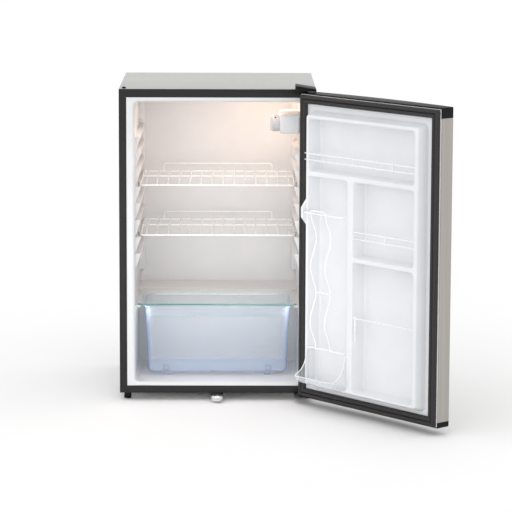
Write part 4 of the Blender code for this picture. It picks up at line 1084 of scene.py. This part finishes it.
# %% Turned parts
def turned_copy(node, mat, profile, steps=48):
    """Turn a profile given in shares: radius as a share of the node's, height from 0 to 1."""
    x, y, z = span(node)
    r, low, tall = (x[1] - x[0]) / 2, z[0], z[1] - z[0]
    points = [(share * r, low + tall * up) for share, up in profile]
    shape = turned(points, (sum(x) / 2, sum(y) / 2, 0), "z", steps)
    finished(node + "_turned", shape, mat, [node], frame["nodes"][node]["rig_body"])


pin = [(0, 0), (0.86, 0), (1.0, 0.04), (1.0, 0.96), (0.86, 1.0), (0, 1.0)]
for node in ("top_hinge_pin", "bottom_hinge_pin"):
    turned_copy(node, zinc, pin)
turned_copy("lock_bolt", zinc, pin)
turned_copy("hinge_hole_plug", trim_black,
            [(0, 0), (0.97, 0), (1.0, 0.12), (0.95, 0.42), (0.80, 0.70), (0.50, 0.94), (0, 1.0)])
for node in ("rear_foot_left", "rear_foot_right"):
    turned_copy(node, rubber,
                [(0, 0), (0.84, 0), (0.96, 0.08), (1.0, 0.22), (0.97, 0.9), (0.92, 1.0), (0, 1.0)])
for node, mat in (("top_hinge_bush", white_plastic), ("bottom_hinge_bush", white_plastic),
                  ("lock_strike", zinc)):
    soften(node, mat, 0.0002)


# %% Lock barrel and front feet
barrel_x, barrel_y, barrel_z = span("lock_barrel")
barrel_r = (barrel_x[1] - barrel_x[0]) / 2
barrel_centre = (sum(barrel_x) / 2, sum(barrel_y) / 2, 0)
tip = barrel_z[0]
barrel_profile = [(0, tip), (0.0058, tip + 0.0001), (0.0066, tip + 0.0007), (0.0074, tip + 0.0001),
                  (0.0105, tip + 0.0012), (0.0132, tip + 0.0032), (0.0148, tip + 0.0050),
                  (barrel_r, tip + 0.0068), (barrel_r, barrel_z[1]), (0, barrel_z[1])]
key_slot = slab((-0.0008, 0.0008), (barrel_centre[1] - 0.005, barrel_centre[1] + 0.005), (0.0, 0.0075))
barrel = cut(turned(barrel_profile, barrel_centre), key_slot)
finished("lock_barrel_turned", barrel, chrome, ["lock_barrel"], "lock_plug")

FOOT_R, FOOT_STEM, FOOT_SHOULDER = 0.0095, 0.0042, 0.0172
NOTCH_COUNT, NOTCH_RING, NOTCH_R = 12, 0.0093, 0.0012
for node in ("front_foot_left", "front_foot_right"):
    foot_x, foot_y, foot_z = span(node)
    x, y, tall = sum(foot_x) / 2, sum(foot_y) / 2, foot_z[1] - foot_z[0]
    notches = []
    for i in range(NOTCH_COUNT):
        angle = math.tau * i / NOTCH_COUNT
        place = (x + NOTCH_RING * math.cos(angle), y + NOTCH_RING * math.sin(angle), 0)
        notches.append(rod(place, "z", NOTCH_R, 0.0030, 0.0075, 0.0002, 8))
    foot = turned([(0, 0), (0.0082, 0), (0.0092, 0.0006), (FOOT_R, 0.0020), (FOOT_R, FOOT_SHOULDER),
                   (0.0090, FOOT_SHOULDER + 0.0010), (FOOT_STEM, FOOT_SHOULDER + 0.0012),
                   (FOOT_STEM, tall), (0, tall)], (x, y, 0))
    body = frame["nodes"][node]["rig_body"]
    finished(node + "_knurled", cut(foot, joined(*notches)), trim_black, [node], body)

# %% [markdown]
# ## Cooling unit
# Behind the cabinet a serpentine tube sheds the heat. Thin rods are welded across it on both sides, which is
# what makes such a condenser look like a grille. The compressor below is a pressed steel pot with a welded
# seam.

# %% Condenser
TUBE_R, ROD_R = 0.003, 0.0006
PASSES, PITCH, BEND = 9, 0.060, 12
COIL_LOW, COIL_HALF = 0.290, 0.195
ROD_COUNT, ROD_X, ROD_Z = 45, 0.160, (0.284, 0.776)
coil_y = sum(span("condenser_coil")[1]) / 2
run = COIL_HALF - PITCH / 2
path = []
for i in range(PASSES):
    way = 1 if i % 2 == 0 else -1
    z = COIL_LOW + i * PITCH
    path += [(-way * run, coil_y, z), (way * run, coil_y, z)]
    if i < PASSES - 1:
        for k in range(1, BEND):
            angle = math.pi * k / BEND
            path.append((way * (run + PITCH / 2 * math.sin(angle)), coil_y,
                         z + PITCH / 2 * (1 - math.cos(angle))))
grille = [wire(path, TUBE_R, resolution=2)]
for i in range(ROD_COUNT):
    x = -ROD_X + 2 * ROD_X * i / (ROD_COUNT - 1)
    for y in (coil_y - 0.0036, coil_y + 0.0024):
        grille.append(wire([(x, y, ROD_Z[0]), (x, y, ROD_Z[1])], ROD_R, resolution=1))
finished("condenser_grille", joined(*grille), enamel_black, ["condenser_coil"])

# %% Compressor and its lines
pot_x, pot_y, pot_z = span("compressor")
pot_centre = (sum(pot_x) / 2, sum(pot_y) / 2, 0)
POT_R = 0.060
pot_profile = [(0, 0.0390), (0.030, 0.0391), (0.0450, 0.0400), (0.0530, 0.0450), (0.0575, 0.0540),
               (POT_R, 0.0680), (POT_R, 0.1085), (POT_R + 0.0018, 0.1095), (POT_R + 0.0020, 0.1110),
               (POT_R + 0.0020, 0.1135),
               (POT_R + 0.0014, 0.1145), (POT_R, 0.1155), (POT_R - 0.0006, 0.1300), (POT_R - 0.0030, 0.1440),
               (0.0510, 0.1580), (0.0420, 0.1665), (0.0300, 0.1710), (0.0150, 0.1726), (0, pot_z[1])]
feet_plate = slab(pot_x, pot_y, (0.038, 0.041), 0.0008)
pot = united(turned(pot_profile, pot_centre, "z", 72), feet_plate)
finished("compressor_pot", pot, enamel_black, ["compressor"])
grommet = [(0, 0), (0.96, 0), (1, 0.03), (1, 0.34), (0.92, 0.40), (0.66, 0.50), (0.66, 0.52), (0.92, 0.62),
           (1, 0.68), (1, 0.97), (0.96, 1), (0, 1)]
for i in range(1, 5):
    turned_copy(f"compressor_mount_{i}", rubber, grommet)
drier = [(0, 0), (0.36, 0.02), (0.50, 0.05), (0.86, 0.12), (1, 0.17), (1, 0.83), (0.86, 0.88), (0.50, 0.95),
         (0.36, 0.98), (0, 1)]
turned_copy("filter_drier", copper, drier)
line_x, line_y = POT_R + pot_centre[0] + 0.0035, pot_centre[1]
suction = [(line_x, line_y, 0.095), (line_x + 0.034, line_y, 0.095), (line_x + 0.034, line_y, 0.2205)]
discharge = [(line_x, line_y + 0.03, 0.075), (line_x + 0.056, line_y + 0.03, 0.075),
             (line_x + 0.056, line_y + 0.050, 0.100), (line_x + 0.056, line_y + 0.050, 0.2205)]
finished("suction_line_bent", wire(suction, 0.004, 0.014), copper, ["suction_line"])
finished("discharge_line_bent", wire(discharge, 0.003, 0.012), copper, ["discharge_line"])

# %% [markdown]
# ## Screws
# The rear panel is held by small cross-head screws. One screw is turned and cut with a cross for each place
# along the edges.

# %% Drive the screws
def screw(x, y, z, radius=0.0036):
    """Pan head facing the back."""
    head = turned([(0, 0), (radius, 0), (radius, 0.0006), (radius * 0.86, 0.0015), (radius * 0.5, 0.0021),
                   (0, 0.0023)], (x, y, z), "y", 24)
    cross = [slab((x - a, x + a), (y + 0.0010, y + 0.0040), (z - b, z + b))
             for a, b in ((0.0020, 0.0004), (0.0004, 0.0020))]
    return cut(head, *cross)


panel_x, panel_y, panel_z = span("rear_panel")
spots = [(x, z) for x in (panel_x[0] + 0.014, panel_x[1] - 0.014)
         for z in (0.30, 0.47, 0.64, panel_z[1] - 0.016)]
spots += [(x, panel_z[1] - 0.012) for x in (-0.09, 0.09)]
finished("rear_screws", joined(*[screw(x, panel_y[1], z) for x, z in spots]), zinc)

# %% [markdown]
# ## Foam
# The space between the outer sheets and the liners is filled with foam that is poured in and swells.
# Nobody sees it, but it has to stay inside the new, rounder liners.

# %% Pour the foam
FOAM_GAP = 0.0025
foam_z = span("door_foam")[2]
door_block = prism(door_plan(0.0016, RIM - WALL - 0.0004), "z", *foam_z)
bays = [slab((x[0] - FOAM_GAP, x[1] + FOAM_GAP), (PAN - FOAM_GAP, 0.1), (z[0] - FOAM_GAP, z[1] + FOAM_GAP))
        for x, z in POCKETS.values()]
bores = [rod((hinge_x, hinge_y, 0), "z", 0.0068, 0.0, 0.9), rod(STRIKE_PLACE, "z", 0.0092, 0.0, 0.05)]
finished("door_foam_poured", cut(door_block, joined(*bays), *bores), foam, ["door_foam"], "door")

# %% [markdown]
# ## The part that stays as it is
# Only the cabinet's foam still shows as the frame has it. It gets its finish by assigning a material to its
# slot; its mesh is left alone.

# %% Finish the remaining frame part
for node, obj in frame["nodes"].items():
    if not obj.hide_render:
        obj.data.materials.clear()
        obj.data.materials.append(foam)
        print("kept:", node)
